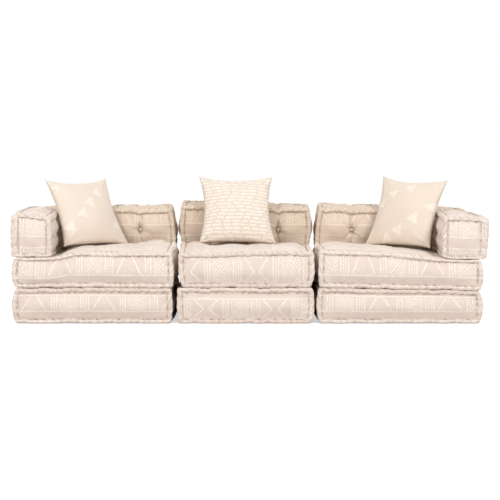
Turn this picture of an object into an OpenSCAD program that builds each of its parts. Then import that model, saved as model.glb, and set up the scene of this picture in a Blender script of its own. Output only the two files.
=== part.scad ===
// Modular sofa bed: three stacks of hand-tufted cotton mattresses. Each stack has a base mattress, a
// seat mattress and a back bolster, the two end stacks have an arm bolster, and every stack has a
// throw pillow. All of them lie loose on one another.
// X runs along the front, Y from the front to the back and Z up. The origin is on the floor under
// the middle of the whole set.

/* [Modules] */
// Width of the left module, from edge roll to edge roll
left_w = 916; // [800:4:1100]
// Width of the middle module, from edge roll to edge roll
mid_w = 780; // [680:4:1000]
// Width of the right module, from edge roll to edge roll
right_w = 940; // [800:4:1100]
// Depth of every module, from edge roll to edge roll
depth = 776; // [720:4:960]
// Space between the edge rolls of two neighbouring modules
module_gap = 45; // [36:1:80]

/* [Base and seat mattresses] */
// Height of a base mattress
base_h = 213; // [160:1:260]
// Height of a seat mattress at its edge rolls
seat_h = 187; // [150:1:240]
// How far the crown of the sitting area rises above the edge rolls
seat_crown = 42; // [10:1:50]
// How far in from its border the crown reaches its full height
crown_run = 70; // [50:1:140]
// How far the boxing of a mattress swells beyond its edge rolls
side_bulge = 12; // [6:1:16]

/* [Back bolsters] */
// Thickness of a back bolster between its front and rear edge rolls
back_t = 222; // [180:1:260]
// Height of a back bolster at its edge rolls
back_h = 238; // [200:1:300]
// How far the top of the middle back bolster swells above its edge rolls
mid_back_crown = 46; // [10:1:60]
// How far the tops of the two end back bolsters swell above their edge rolls
end_back_crown = 28; // [10:1:60]
// How far the front and rear faces of a back bolster swell
back_face = 12; // [6:1:20]
// Space between the ends of two neighbouring back bolsters
back_gap = 0.4; // [0.3:0.1:6]

/* [Arm bolsters] */
// Width of the left arm bolster between its edge rolls
left_arm_w = 216; // [180:1:260]
// Width of the right arm bolster between its edge rolls
right_arm_w = 244; // [180:1:260]
// Height of an arm bolster at its edge rolls
arm_h = 238; // [200:1:300]
// How far the top of an arm bolster swells above its edge rolls
arm_crown = 9; // [4:1:30]
// How far the two long faces of an arm bolster swell
arm_face = 8; // [4:1:16]
// How far the two ends of an arm bolster swell
arm_end = 8; // [4:1:12]
// How far the left arm bolster stands out beyond the seat mattress
left_arm_out = 2; // [0:1:30]
// How far the right arm bolster stands out beyond the seat mattress
right_arm_out = 24; // [0:1:30]

/* [Throw pillows] */
// Width and height of a throw pillow from corner to corner
pillow_size = 450; // [400:2:480]
// Thickness of a throw pillow at its middle
pillow_t = 150; // [100:2:180]
// How far each side of a throw pillow is drawn in between its corners
pillow_draw = 22; // [8:1:34]
// How far the middle pillow leans back, in degrees
mid_lean = 26; // [18:0.5:32]
// How far the left pillow leans back, in degrees
left_lean = 30; // [22:0.5:34]
// How far the right pillow leans back, in degrees
right_lean = 27; // [22:0.5:34]
// How far the left pillow is turned towards the middle of the sofa, in degrees
left_turn = 39; // [25:1:45]
// How far the right pillow is turned towards the middle of the sofa, in degrees
right_turn = 36; // [25:1:45]
// Distance of the middle pillow from the middle of its seat
mid_pillow_shift = -50; // [-120:5:120]

/* [Edge rolls] */
// Radius of the stitched roll along the edges
roll_r = 13; // [9:0.5:16]
// Depth of the stitched groove behind a roll
groove = 6; // [2:0.5:7]
// Distance of the stitching from the edge
seam_in = 30; // [26:1:36]

/* [Tufts] */
// Depth of the dimple that a tuft draws into a visible face
tuft_dip = 22; // [8:1:26]
// Reach of a dimple on each side of its tuft
tuft_reach = 30; // [24:1:36]
// Diameter of the cotton pom at each end of a tuft
pom_d = 18; // [12:1:22]
// Diameter of the tufting twine
cord_d = 2.4; // [1.6:0.2:4]

/* [Cover and filling] */
// Thickness of a cover with its felted wadding
cover_t = 9; // [8:0.5:12]
// Thickness of a pillow cover at the middle of its faces
pillow_cover_t = 6; // [4:0.5:10]

/* [Clearances] */
// Space between two pieces that lie on or beside each other
rest_gap = 0.3; // [0.2:0.1:1]
// Space between a filling and its cover
fill_gap = 0.4; // [0.3:0.1:1]
// Space round the twine in its hole
bore_gap = 0.3; // [0.2:0.1:0.6]
// Space between an arm bolster and the back bolster behind it
arm_gap = 0.6; // [0.4:0.1:4]
// Space between a throw pillow and the back bolster that it leans on
lean_gap = 0.5; // [0.5:0.1:4]
// Space between a throw pillow and the arm bolster beside it
arm_lean_gap = 14; // [6:1:24]
// Space between a throw pillow and its seat
pillow_rest = 0.7; // [0.5:0.1:2]

/* [Hidden] */

print_beige = [0.78, 0.72, 0.63];
plain_beige = [0.84, 0.78, 0.69];
cotton_white = [0.93, 0.91, 0.86];
felt_grey = [0.82, 0.80, 0.76];

// Shares and counts of the forms
tuft_shares = [0.25, 0.5, 0.75];
arm_tuft_shares = [1 / 3, 2 / 3];
swell_shares = [0.3, 0.7];
seat_step = 140;
bolster_step = 200;
base_step = 240;
core_step = 300;
line_clear = 10;
pillow_cells = 10;
insert_cells = 8;
core_chamfer = 18;
round_sides = 48;
twine_sides = 24;
corner_tuck = 4;
pom_room = 1;
pom_floor = 0.5;
twine_tuck = 1;
cut_over = 60;
swell_power = 6;
pillow_power = 0.5;
pillow_margin = 22;
edge_crowding = 67.5;
cell_samples = 4;
resting_rows = 3;

// Reach of a dimple where it is shallow, and of the cup cut for it inside the cover
dip_reach = 2 * tuft_reach;
cup_reach = 1.5 * tuft_reach;

// Heights of the three layers
seat_z = base_h + rest_gap;
seat_top = seat_z + seat_h;
bolster_z = seat_top + rest_gap;

// Places along X, with the whole set centred on the origin
span = left_arm_out + side_bulge + left_w + module_gap + mid_w + module_gap + right_w
    + side_bulge + right_arm_out;
left_x = -span / 2 + left_arm_out + side_bulge;
mid_x = left_x + left_w + module_gap;
right_x = mid_x + mid_w + module_gap;
back_over = (module_gap - 2 * side_bulge - back_gap) / 2;
left_arm_x = left_x - side_bulge - left_arm_out + arm_face;
right_arm_x = right_x + right_w + side_bulge + right_arm_out - arm_face - right_arm_w;

// Places along Y
front_y = -depth / 2;
back_rear_y = depth / 2 + side_bulge - back_face;
back_front_y = back_rear_y - back_t;
arm_l = back_front_y - back_face - arm_gap - arm_end - front_y;

// Borders of the sitting areas, measured inside each seat mattress
sit_margin = 6;
left_sit = [left_arm_x + left_arm_w + arm_face + sit_margin - left_x, left_w - seam_in];
mid_sit = [seam_in, mid_w - seam_in];
right_sit = [seam_in, right_arm_x - arm_face - sit_margin - right_x];
sit_v = [seam_in, back_front_y - back_face - sit_margin - front_y];

// Sorting and spacing of the lines that shape a face
function sorted(a) = len(a) < 2 ? a :
    let(pivot = a[floor(len(a) / 2)])
    concat(
        sorted([for (x = a) if (x < pivot) x]),
        [pivot],
        sorted([for (x = a) if (x > pivot) x])
    );
function clear_of(a, fixed) =
    [for (x = a) if (min([for (f = fixed) abs(x - f)]) >= line_clear) x];
function within(a, length) = [for (x = a) if (x > line_clear && x < length - line_clear) x];
function subdivided(a, step) = [
    for (i = [0 : len(a) - 2])
        let(n = ceil((a[i + 1] - a[i]) / step))
        for (k = [0 : n - 1]) a[i] + (a[i + 1] - a[i]) * k / n,
    a[len(a) - 1]
];
function lines(length, borders, shaped, step) =
    let(
        fixed = sorted(concat([0, length], borders)),
        extra = [for (t = shaped) each [t - tuft_reach, t, t + tuft_reach]]
    )
    subdivided(sorted(concat(fixed, clear_of(extra, fixed))), step);

// A pad is a box-shaped cushion in its own frame: two faces at w = 0 and w = size[2], which carry
// the tufts, and a boxing round the four sides between them.
// It holds [size, swell of the four sides, high face, low face, tuft places, line step].
// A face holds [crown, border along u, border along v]; a crown of 0 is a flat face.
function pad_size(p) = p[0];
function pad_swell(p) = p[1];
function high_face(p) = p[2];
function low_face(p) = p[3];
function pad_tufts(p) = p[4];
function pad_step(p) = p[5];
flat_face = [0, [0, 0], [0, 0]];
function is_flat(face) = face[0] == 0;

function rise(t, border) =
    let(d = min(t - border[0], border[1] - t))
    d <= 0 ? 0 : d >= crown_run ? 1 : 1 - pow(1 - d / crown_run, 2);
function crown_at(face, u, v) = face[0] * rise(u, face[1]) * rise(v, face[2]);
function inside(t, border) =
    t > border[0] + cup_reach && t < border[1] - cup_reach;
function shows(face, t) =
    !is_flat(face) && inside(t[0], face[1]) && inside(t[1], face[2]);
function dip_at(face, tufts, u, v) =
    max(concat([0], [
        for (t = tufts)
            if (shows(face, t))
                tuft_dip * pow(max(0, 1 - norm([u - t[0], v - t[1]]) / dip_reach), 2)
    ]));

// Where the pom of a tuft sits, as a depth below the plane of its face
function pom_depth(face, t) = shows(face, t)
    ? tuft_dip + pom_floor - crown_at(face, t[0], t[1])
    : pom_d / 2 + pom_room;
function cup_r(face, t) = shows(face, t) ? cup_reach : pom_d / 2 + pom_room + cover_t;

// Rings of the boxing, each [height, shift outwards, share of the swell, depth of the seam]
function skin_rings(w) = concat(
    [[0, -roll_r, 0, 0], [roll_r, 0, 0, 0], [2 * roll_r, -groove, 0, 0]],
    [for (share = swell_shares) [2 * roll_r + (w - 4 * roll_r) * share, 0, 1, groove]],
    [[w - 2 * roll_r, -groove, 0, 0], [w - roll_r, 0, 0, 0], [w, -roll_r, 0, 0]]
);
function core_rings(w) = [
    [0, -core_chamfer, 0, 0],
    [core_chamfer, 0, 0, 0],
    [w / 2, 0, 1, 0],
    [w - core_chamfer, 0, 0, 0],
    [w, -core_chamfer, 0, 0]
];
function side_shift(ring, ts, i, swell) =
    let(last = len(ts) - 1, seam = (i == 1 || i == last - 1) ? ring[3] : 0)
    ring[1] + ring[2] * swell * (1 - pow(abs(2 * ts[i] / ts[last] - 1), swell_power)) - seam;

// One point of a ring, at column i and row j of the lines
function ring_point(ring, us, vs, i, j, swell, tuck) =
    let(
        nu = len(us) - 1,
        nv = len(vs) - 1,
        corner = (i == 0 || i == nu) && (j == 0 || j == nv) ? tuck : 0
    )
    [
        i == 0 ? corner - side_shift(ring, vs, j, swell[0])
            : i == nu ? us[nu] - corner + side_shift(ring, vs, j, swell[1]) : us[i],
        j == 0 ? corner - side_shift(ring, us, i, swell[2])
            : j == nv ? vs[nv] - corner + side_shift(ring, us, i, swell[3]) : vs[j],
        ring[0]
    ];

// The border of a grid of nu by nv cells, walked once round as [column, row]
function border_cells(nu, nv) = concat(
    [for (i = [0 : nu - 1]) [i, 0]],
    [for (j = [0 : nv - 1]) [nu, j]],
    [for (i = [nu : -1 : 1]) [i, nv]],
    [for (j = [nv : -1 : 1]) [0, j]]
);
function border_index(i, j, nu, nv) =
    j == 0 ? i : i == nu ? nu + j : j == nv ? nu + nv + nu - i : 2 * nu + nv + nv - j;
function on_border(i, j, nu, nv) = i == 0 || j == 0 || i == nu || j == nv;
function grid_index(i, j, nu, nv, border_from, inner_from) =
    on_border(i, j, nu, nv)
        ? border_from + border_index(i, j, nu, nv)
        : inner_from + (i - 1) + (j - 1) * (nu - 1);

// Two triangles for each cell of a grid, with the diagonals running towards the corners
function grid_faces(nu, nv, border_from, inner_from, up) = [
    for (i = [0 : nu - 1])
        for (j = [0 : nv - 1])
            let(
                a = grid_index(i, j, nu, nv, border_from, inner_from),
                b = grid_index(i + 1, j, nu, nv, border_from, inner_from),
                c = grid_index(i + 1, j + 1, nu, nv, border_from, inner_from),
                d = grid_index(i, j + 1, nu, nv, border_from, inner_from),
                pair = rising_cell(i, j, nu, nv) ? [[a, c, b], [a, d, c]] : [[a, d, b], [b, d, c]]
            )
            for (f = pair) up ? f : [f[0], f[2], f[1]]
];
function fan_faces(count, border_from, centre, up) = [
    for (p = [0 : count - 1])
        let(a = border_from + p, b = border_from + (p + 1) % count)
        up ? [centre, b, a] : [centre, a, b]
];
function band_faces(count, rings) = [
    for (k = [0 : rings - 2])
        for (p = [0 : count - 1])
            let(
                q = (p + 1) % count,
                a = k * count + p,
                b = k * count + q,
                c = (k + 1) * count + q,
                d = (k + 1) * count + p
            )
            each [[a, d, b], [b, d, c]]
];

// Height of a face above its plane at one inner crossing of the lines
function face_height(p, face, us, vs, i, j, inset, seam, dips) =
    let(edge = i == 1 || j == 1 || i == len(us) - 2 || j == len(vs) - 2)
    crown_at(face, us[i] + inset, vs[j] + inset)
        - (edge ? seam : 0)
        - (dips ? dip_at(face, pad_tufts(p), us[i], vs[j]) : 0);

// The closed form of a pad: its rings, then the inner points of its high and low faces
module pad_form(p, rings, us, vs, inset, seam, tuck, dips) {
    nu = len(us) - 1;
    nv = len(vs) - 1;
    w = pad_size(p)[2];
    border = border_cells(nu, nv);
    count = len(border);
    faces = [high_face(p), low_face(p)];
    ring_points = [
        for (ring = rings)
            for (c = border) ring_point(ring, us, vs, c[0], c[1], pad_swell(p), tuck)
    ];
    inner = [
        for (s = [0, 1])
            is_flat(faces[s])
                ? [[us[nu] / 2, vs[nv] / 2, s == 0 ? w : 0]]
                : [
                    for (j = [1 : nv - 1])
                        for (i = [1 : nu - 1])
                            let(h = face_height(p, faces[s], us, vs, i, j, inset, seam, dips))
                            [us[i], vs[j], s == 0 ? w + h : -h]
                ]
    ];
    high_from = len(ring_points);
    low_from = high_from + len(inner[0]);
    top = (len(rings) - 1) * count;
    polyhedron(
        points = concat(ring_points, inner[0], inner[1]),
        faces = concat(
            band_faces(count, len(rings)),
            is_flat(faces[0])
                ? fan_faces(count, top, high_from, true)
                : grid_faces(nu, nv, top, high_from, true),
            is_flat(faces[1])
                ? fan_faces(count, 0, low_from, false)
                : grid_faces(nu, nv, 0, low_from, false)
        ),
        convexity = 4
    );
}

// The lines of a pad's outer form, across axis a of its faces
function skin_lines(p, a) =
    let(
        length = pad_size(p)[a],
        shaped = [
            for (t = pad_tufts(p)) if (shows(high_face(p), t) || shows(low_face(p), t)) t[a]
        ],
        borders = is_flat(high_face(p)) ? [] : within(high_face(p)[a + 1], length),
        seams = [seam_in, length - seam_in]
    )
    lines(length, concat(seams, clear_of(borders, seams)), shaped, pad_step(p));

// The outer form of a pad, with its rolls, seams, crown and dimples
module pad_skin(p) {
    pad_form(p, skin_rings(pad_size(p)[2]), skin_lines(p, 0), skin_lines(p, 1), 0, groove,
        corner_tuck, true);
}

// The plain inner form of a pad, a given depth inside its rolls
module pad_core(p, inset) {
    s = pad_size(p);
    inner = [s[0] - 2 * inset, s[1] - 2 * inset, s[2] - 2 * inset];
    borders = [
        for (a = [0, 1])
            is_flat(high_face(p)) ? [] : [for (b = high_face(p)[a + 1]) b - inset]
    ];
    us = lines(inner[0], within(borders[0], inner[0]), [], core_step);
    vs = lines(inner[1], within(borders[1], inner[1]), [], core_step);
    translate([inset, inset, inset])
        pad_form([inner, pad_swell(p), high_face(p), low_face(p), [], 0],
            core_rings(inner[2]), us, vs, inset, 0, 0, false);
}

// The drawn-in cups round the tufts, where cover and filling are pulled together
module pad_cups(p, grow) {
    w = pad_size(p)[2];
    for (t = pad_tufts(p)) {
        high = pom_depth(high_face(p), t) + cover_t + grow;
        low = pom_depth(low_face(p), t) + cover_t + grow;
        translate([t[0], t[1], w - high])
            cylinder(h = high + cut_over, r = cup_r(high_face(p), t) + grow, $fn = round_sides);
        translate([t[0], t[1], -cut_over])
            cylinder(h = low + cut_over, r = cup_r(low_face(p), t) + grow, $fn = round_sides);
    }
}

// The seats of the poms, cut flat into the cover
module pad_pom_seats(p) {
    w = pad_size(p)[2];
    for (t = pad_tufts(p)) {
        high = pom_depth(high_face(p), t);
        low = pom_depth(low_face(p), t);
        translate([t[0], t[1], w - high])
            cylinder(h = high + cut_over, r = pom_d / 2 + pom_room, $fn = round_sides);
        translate([t[0], t[1], -cut_over])
            cylinder(h = low + cut_over, r = pom_d / 2 + pom_room, $fn = round_sides);
    }
}

module pad_bores(p) {
    for (t = pad_tufts(p))
        translate([t[0], t[1], -cut_over])
            cylinder(h = pad_size(p)[2] + 2 * cut_over, r = cord_d / 2 + bore_gap, $fn = twine_sides);
}

module pad_cover(p) {
    difference() {
        pad_skin(p);
        difference() {
            pad_core(p, cover_t);
            pad_cups(p, 0);
        }
        pad_pom_seats(p);
        pad_bores(p);
    }
}

module pad_filling(p) {
    difference() {
        pad_core(p, cover_t + fill_gap);
        pad_cups(p, fill_gap);
        pad_bores(p);
    }
}

// A cotton pom, flat below, on the end of its twine
module pom() {
    intersection() {
        sphere(d = pom_d, $fn = round_sides);
        cylinder(h = pom_d, d = 2 * pom_d, $fn = round_sides);
    }
}

module pad_tuft_set(p) {
    w = pad_size(p)[2];
    for (t = pad_tufts(p)) {
        high = w - pom_depth(high_face(p), t) + rest_gap;
        low = pom_depth(low_face(p), t) - rest_gap;
        translate([t[0], t[1], 0]) {
            translate([0, 0, low - twine_tuck])
                cylinder(h = high - low + 2 * twine_tuck, d = cord_d, $fn = twine_sides);
            translate([0, 0, high])
                pom();
            translate([0, 0, low])
                mirror([0, 0, 1])
                    pom();
        }
    }
}

// The pads of one kind, from their sizes
function mattress_tufts(w) = [for (v = tuft_shares) for (u = tuft_shares) [u * w, v * depth]];
function base_pad(w) = [
    [w, depth, base_h],
    [side_bulge, side_bulge, side_bulge, side_bulge],
    flat_face, flat_face, mattress_tufts(w), base_step
];
function seat_pad(w, sit_u) = [
    [w, depth, seat_h],
    [side_bulge, side_bulge, side_bulge, side_bulge],
    [seat_crown, sit_u, sit_v], flat_face, mattress_tufts(w), seat_step
];
function back_pad(w, tuft_from, tuft_w, crown) = [
    [w, back_h, back_t],
    [side_bulge, side_bulge, 0, crown],
    [back_face, [0, w], [0, back_h]], [back_face, [0, w], [0, back_h]],
    [for (u = tuft_shares) [tuft_from + u * tuft_w, back_h / 2]], bolster_step
];
function arm_pad(w) = [
    [arm_l, arm_h, w],
    [arm_end, arm_end, 0, arm_crown],
    [arm_face, [0, arm_l], [0, arm_h]], [arm_face, [0, arm_l], [0, arm_h]],
    [for (u = arm_tuft_shares) [u * arm_l, arm_h / 2]], bolster_step
];

left_base = base_pad(left_w);
left_seat = seat_pad(left_w, left_sit);
left_back = back_pad(left_w + back_over, 0, left_w + back_over, end_back_crown);
left_arm = arm_pad(left_arm_w);
middle_base = base_pad(mid_w);
middle_seat = seat_pad(mid_w, mid_sit);
middle_back = back_pad(mid_w + 2 * back_over, 0, mid_w + 2 * back_over, mid_back_crown);
right_base = base_pad(right_w);
right_seat = seat_pad(right_w, right_sit);
right_back = back_pad(right_w + back_over, 0, right_w + back_over, end_back_crown);
right_arm = arm_pad(right_arm_w);

// Where each pad stands: mattresses lie flat, backs face the front and arms face the sides
module lay_mattress(x, z) {
    translate([x, front_y, z])
        children();
}
module stand_back(x) {
    translate([x, back_rear_y, bolster_z])
        rotate([90, 0, 0])
            children();
}
module stand_arm(x) {
    translate([x, front_y, bolster_z])
        rotate([90, 0, 90])
            children();
}

// Half the thickness of a pillow at shares a and b of its half width and half height
function pillow_half(a, b, t) = t / 2 * pow((1 - a * a) * (1 - b * b), pillow_power);

// A pillow in its own frame: u across, v upwards and w towards the front, from its middle.
// Its lines crowd towards the edges, and its sides are drawn in between the corners.
function pillow_share(i, cells) = sin(edge_crowding * (2 * i / cells - 1)) / sin(edge_crowding);
function pillow_vertex(size, t, cells, i, j, side) =
    let(
        a = pillow_share(i, cells),
        b = pillow_share(j, cells),
        in = 2 * pillow_draw / size
    )
    [
        size / 2 * a * (1 - in * (1 - b * b)),
        size / 2 * b * (1 - in * (1 - a * a)),
        side * pillow_half(a, b, t)
    ];
module pillow_form(size, t, cells) {
    border = border_cells(cells, cells);
    inner = [for (j = [1 : cells - 1]) for (i = [1 : cells - 1]) [i, j]];
    count = len(border);
    polyhedron(
        points = concat(
            [for (c = border) pillow_vertex(size, t, cells, c[0], c[1], 0)],
            [for (c = inner) pillow_vertex(size, t, cells, c[0], c[1], 1)],
            [for (c = inner) pillow_vertex(size, t, cells, c[0], c[1], -1)]
        ),
        faces = concat(
            grid_faces(cells, cells, 0, count, true),
            grid_faces(cells, cells, 0, count + len(inner), false)
        ),
        convexity = 2
    );
}

module pillow_cavity(gap) {
    pillow_form(pillow_size - 2 * (pillow_margin + gap), pillow_t - 2 * (pillow_cover_t + gap),
        insert_cells);
}

module pillow_cover_form() {
    difference() {
        pillow_form(pillow_size, pillow_t, pillow_cells);
        pillow_cavity(0);
    }
}

// A value inside a cell, from the values at its corners, on the two triangles of the cell
function rising_cell(i, j, nu, nv) = (i < nu / 2) == (j < nv / 2);
function mixed(low, low_next, high, high_next, a, b, rising) =
    rising
        ? (a > b ? low + a * (low_next - low) + b * (high_next - low_next)
            : low + b * (high - low) + a * (high_next - high))
        : (a + b < 1 ? low + a * (low_next - low) + b * (high - low)
            : high_next + (1 - a) * (high - high_next) + (1 - b) * (low_next - high_next));

// Height of a seat's surface above its edge rolls, at any point of its plan
function cell_of(ts, t) = max([for (i = [0 : len(ts) - 2]) if (i == 0 || ts[i] <= t) i]);
function crossing_heights(p, us, vs) = [
    for (j = [0 : len(vs) - 1]) [
        for (i = [0 : len(us) - 1])
            on_border(i, j, len(us) - 1, len(vs) - 1) ? 0
                : face_height(p, high_face(p), us, vs, i, j, 0, groove, true)
    ]
];
function surface_at(heights, us, vs, u, v) =
    let(i = cell_of(us, u), j = cell_of(vs, v))
    mixed(
        heights[j][i], heights[j][i + 1], heights[j + 1][i], heights[j + 1][i + 1],
        (u - us[i]) / (us[i + 1] - us[i]), (v - vs[j]) / (vs[j + 1] - vs[j]),
        rising_cell(i, j, len(us) - 1, len(vs) - 1)
    );

// Columns of points up the rear face (side -1) or front face (side 1) of a pillow, measured from
// its bottom middle, over the lowest rows of its cells; pose is [lean, turn]
function posed(q, pose) =
    let(
        v = q[1] + pillow_size / 2,
        back = v * sin(pose[0]) - q[2] * cos(pose[0])
    )
    [
        q[0] * cos(pose[1]) - back * sin(pose[1]),
        q[0] * sin(pose[1]) + back * cos(pose[1]),
        v * cos(pose[0]) + q[2] * sin(pose[0])
    ];
function pillow_columns(side, rows, pose) =
    let(
        net = [
            for (j = [0 : rows]) [
                for (i = [0 : pillow_cells])
                    posed(pillow_vertex(pillow_size, pillow_t, pillow_cells, i, j, side), pose)
            ]
        ]
    )
    [
        for (i = [0 : pillow_cells - 1])
            for (a = [0 : 1 / cell_samples : 1]) [
                for (j = [0 : rows - 1])
                    for (b = [0 : 1 / cell_samples : 1])
                        mixed(net[j][i], net[j][i + 1], net[j + 1][i], net[j + 1][i + 1], a, b,
                            rising_cell(i, j, pillow_cells, pillow_cells))
            ]
    ];

// How far a pillow reaches along a direction below a height
function reach(pose, along, height) =
    max([
        for (column = pillow_columns(-1, pillow_cells, pose))
            for (k = [0 : len(column) - 2])
                let(q = column[k], next = column[k + 1])
                if (q[2] <= height)
                    next[2] <= height ? q * along
                        : (q + (next - q) * (height - q[2]) / (next[2] - q[2])) * along
    ]);

// Height of a pillow's bottom middle when it rests on its seat at the place given
function resting_height(place, pose, seat, seat_x) =
    let(
        us = skin_lines(seat, 0),
        vs = skin_lines(seat, 1),
        heights = crossing_heights(seat, us, vs)
    )
    seat_top + pillow_rest + max([
        for (side = [-1, 1])
            for (column = pillow_columns(side, resting_rows, pose))
                for (q = column)
                    surface_at(heights, us, vs, place[0] + q[0] - seat_x,
                        place[1] + q[1] - front_y) - q[2]
    ]);

// Floor places of the bottom middles, for a bottom at height z. The middle pillow leans on the top
// edge of its back bolster, and an end one in the corner between its back and its arm.
function back_line(pose, z) =
    back_front_y - lean_gap - reach(pose, [0, 1, 0], bolster_z + back_h - roll_r - z);
function arm_line(pose, arm_x, side, z) =
    arm_x + side * (arm_lean_gap + reach(pose, [-side, 0, 0], bolster_z + arm_h - roll_r - z));
function middle_spot(z) = [mid_x + mid_w / 2 + mid_pillow_shift, back_line(mid_pose, z)];
function left_spot(z) =
    [arm_line(left_pose, left_arm_x + left_arm_w, 1, z), back_line(left_pose, z)];
function right_spot(z) = [arm_line(right_pose, right_arm_x, -1, z), back_line(right_pose, z)];

// The place where a pillow touches its seat and what it leans on at the same time
function settled(spot, pose, seat, seat_x) =
    let(
        z = resting_height(spot(seat_top + seat_crown), pose, seat, seat_x),
        place = spot(z)
    )
    [place[0], place[1], resting_height(place, pose, seat, seat_x)];
left_pose = [left_lean, left_turn];
mid_pose = [mid_lean, 0];
right_pose = [right_lean, -right_turn];

module place_pillow(place, pose) {
    translate(place)
        rotate([0, 0, pose[1]])
            rotate([90 - pose[0], 0, 0])
                translate([0, pillow_size / 2, 0])
                    children();
}
module place_left_pillow() {
    place_pillow(settled(function(z) left_spot(z), left_pose, left_seat, left_x), left_pose)
        children();
}
module place_middle_pillow() {
    place_pillow(settled(function(z) middle_spot(z), mid_pose, middle_seat, mid_x), mid_pose)
        children();
}
module place_right_pillow() {
    place_pillow(settled(function(z) right_spot(z), right_pose, right_seat, right_x), right_pose)
        children();
}

// Left module
module left_base_cover() { color(print_beige) lay_mattress(left_x, 0) pad_cover(left_base); }
module left_base_filling() { color(felt_grey) lay_mattress(left_x, 0) pad_filling(left_base); }
module left_base_tufts() { color(cotton_white) lay_mattress(left_x, 0) pad_tuft_set(left_base); }
module left_seat_cover() { color(print_beige) lay_mattress(left_x, seat_z) pad_cover(left_seat); }
module left_seat_filling() { color(felt_grey) lay_mattress(left_x, seat_z) pad_filling(left_seat); }
module left_seat_tufts() { color(cotton_white) lay_mattress(left_x, seat_z) pad_tuft_set(left_seat); }
module left_back_cover() { color(print_beige) stand_back(left_x) pad_cover(left_back); }
module left_back_filling() { color(felt_grey) stand_back(left_x) pad_filling(left_back); }
module left_back_tufts() { color(cotton_white) stand_back(left_x) pad_tuft_set(left_back); }
module left_arm_cover() { color(print_beige) stand_arm(left_arm_x) pad_cover(left_arm); }
module left_arm_filling() { color(felt_grey) stand_arm(left_arm_x) pad_filling(left_arm); }
module left_arm_tufts() { color(cotton_white) stand_arm(left_arm_x) pad_tuft_set(left_arm); }
module left_pillow_cover() { color(plain_beige) place_left_pillow() pillow_cover_form(); }
module left_pillow_insert() { color(cotton_white) place_left_pillow() pillow_cavity(fill_gap); }

// Middle module
module middle_base_cover() { color(print_beige) lay_mattress(mid_x, 0) pad_cover(middle_base); }
module middle_base_filling() { color(felt_grey) lay_mattress(mid_x, 0) pad_filling(middle_base); }
module middle_base_tufts() { color(cotton_white) lay_mattress(mid_x, 0) pad_tuft_set(middle_base); }
module middle_seat_cover() { color(print_beige) lay_mattress(mid_x, seat_z) pad_cover(middle_seat); }
module middle_seat_filling() { color(felt_grey) lay_mattress(mid_x, seat_z) pad_filling(middle_seat); }
module middle_seat_tufts() { color(cotton_white) lay_mattress(mid_x, seat_z) pad_tuft_set(middle_seat); }
module middle_back_cover() { color(print_beige) stand_back(mid_x - back_over) pad_cover(middle_back); }
module middle_back_filling() { color(felt_grey) stand_back(mid_x - back_over) pad_filling(middle_back); }
module middle_back_tufts() { color(cotton_white) stand_back(mid_x - back_over) pad_tuft_set(middle_back); }
module middle_pillow_cover() { color(plain_beige) place_middle_pillow() pillow_cover_form(); }
module middle_pillow_insert() { color(cotton_white) place_middle_pillow() pillow_cavity(fill_gap); }

// Right module
module right_base_cover() { color(print_beige) lay_mattress(right_x, 0) pad_cover(right_base); }
module right_base_filling() { color(felt_grey) lay_mattress(right_x, 0) pad_filling(right_base); }
module right_base_tufts() { color(cotton_white) lay_mattress(right_x, 0) pad_tuft_set(right_base); }
module right_seat_cover() { color(print_beige) lay_mattress(right_x, seat_z) pad_cover(right_seat); }
module right_seat_filling() { color(felt_grey) lay_mattress(right_x, seat_z) pad_filling(right_seat); }
module right_seat_tufts() { color(cotton_white) lay_mattress(right_x, seat_z) pad_tuft_set(right_seat); }
module right_back_cover() { color(print_beige) stand_back(right_x - back_over) pad_cover(right_back); }
module right_back_filling() { color(felt_grey) stand_back(right_x - back_over) pad_filling(right_back); }
module right_back_tufts() { color(cotton_white) stand_back(right_x - back_over) pad_tuft_set(right_back); }
module right_arm_cover() { color(print_beige) stand_arm(right_arm_x) pad_cover(right_arm); }
module right_arm_filling() { color(felt_grey) stand_arm(right_arm_x) pad_filling(right_arm); }
module right_arm_tufts() { color(cotton_white) stand_arm(right_arm_x) pad_tuft_set(right_arm); }
module right_pillow_cover() { color(plain_beige) place_right_pillow() pillow_cover_form(); }
module right_pillow_insert() { color(cotton_white) place_right_pillow() pillow_cavity(fill_gap); }

left_base_cover();
left_base_filling();
left_base_tufts();
left_seat_cover();
left_seat_filling();
left_seat_tufts();
left_back_cover();
left_back_filling();
left_back_tufts();
left_arm_cover();
left_arm_filling();
left_arm_tufts();
left_pillow_cover();
left_pillow_insert();
middle_base_cover();
middle_base_filling();
middle_base_tufts();
middle_seat_cover();
middle_seat_filling();
middle_seat_tufts();
middle_back_cover();
middle_back_filling();
middle_back_tufts();
middle_pillow_cover();
middle_pillow_insert();
right_base_cover();
right_base_filling();
right_base_tufts();
right_seat_cover();
right_seat_filling();
right_seat_tufts();
right_back_cover();
right_back_filling();
right_back_tufts();
right_arm_cover();
right_arm_filling();
right_arm_tufts();
right_pillow_cover();
right_pillow_insert();
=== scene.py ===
import math
from functools import partialmethod

import bpy
import numpy as np
from mathutils import Matrix, Vector


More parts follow.
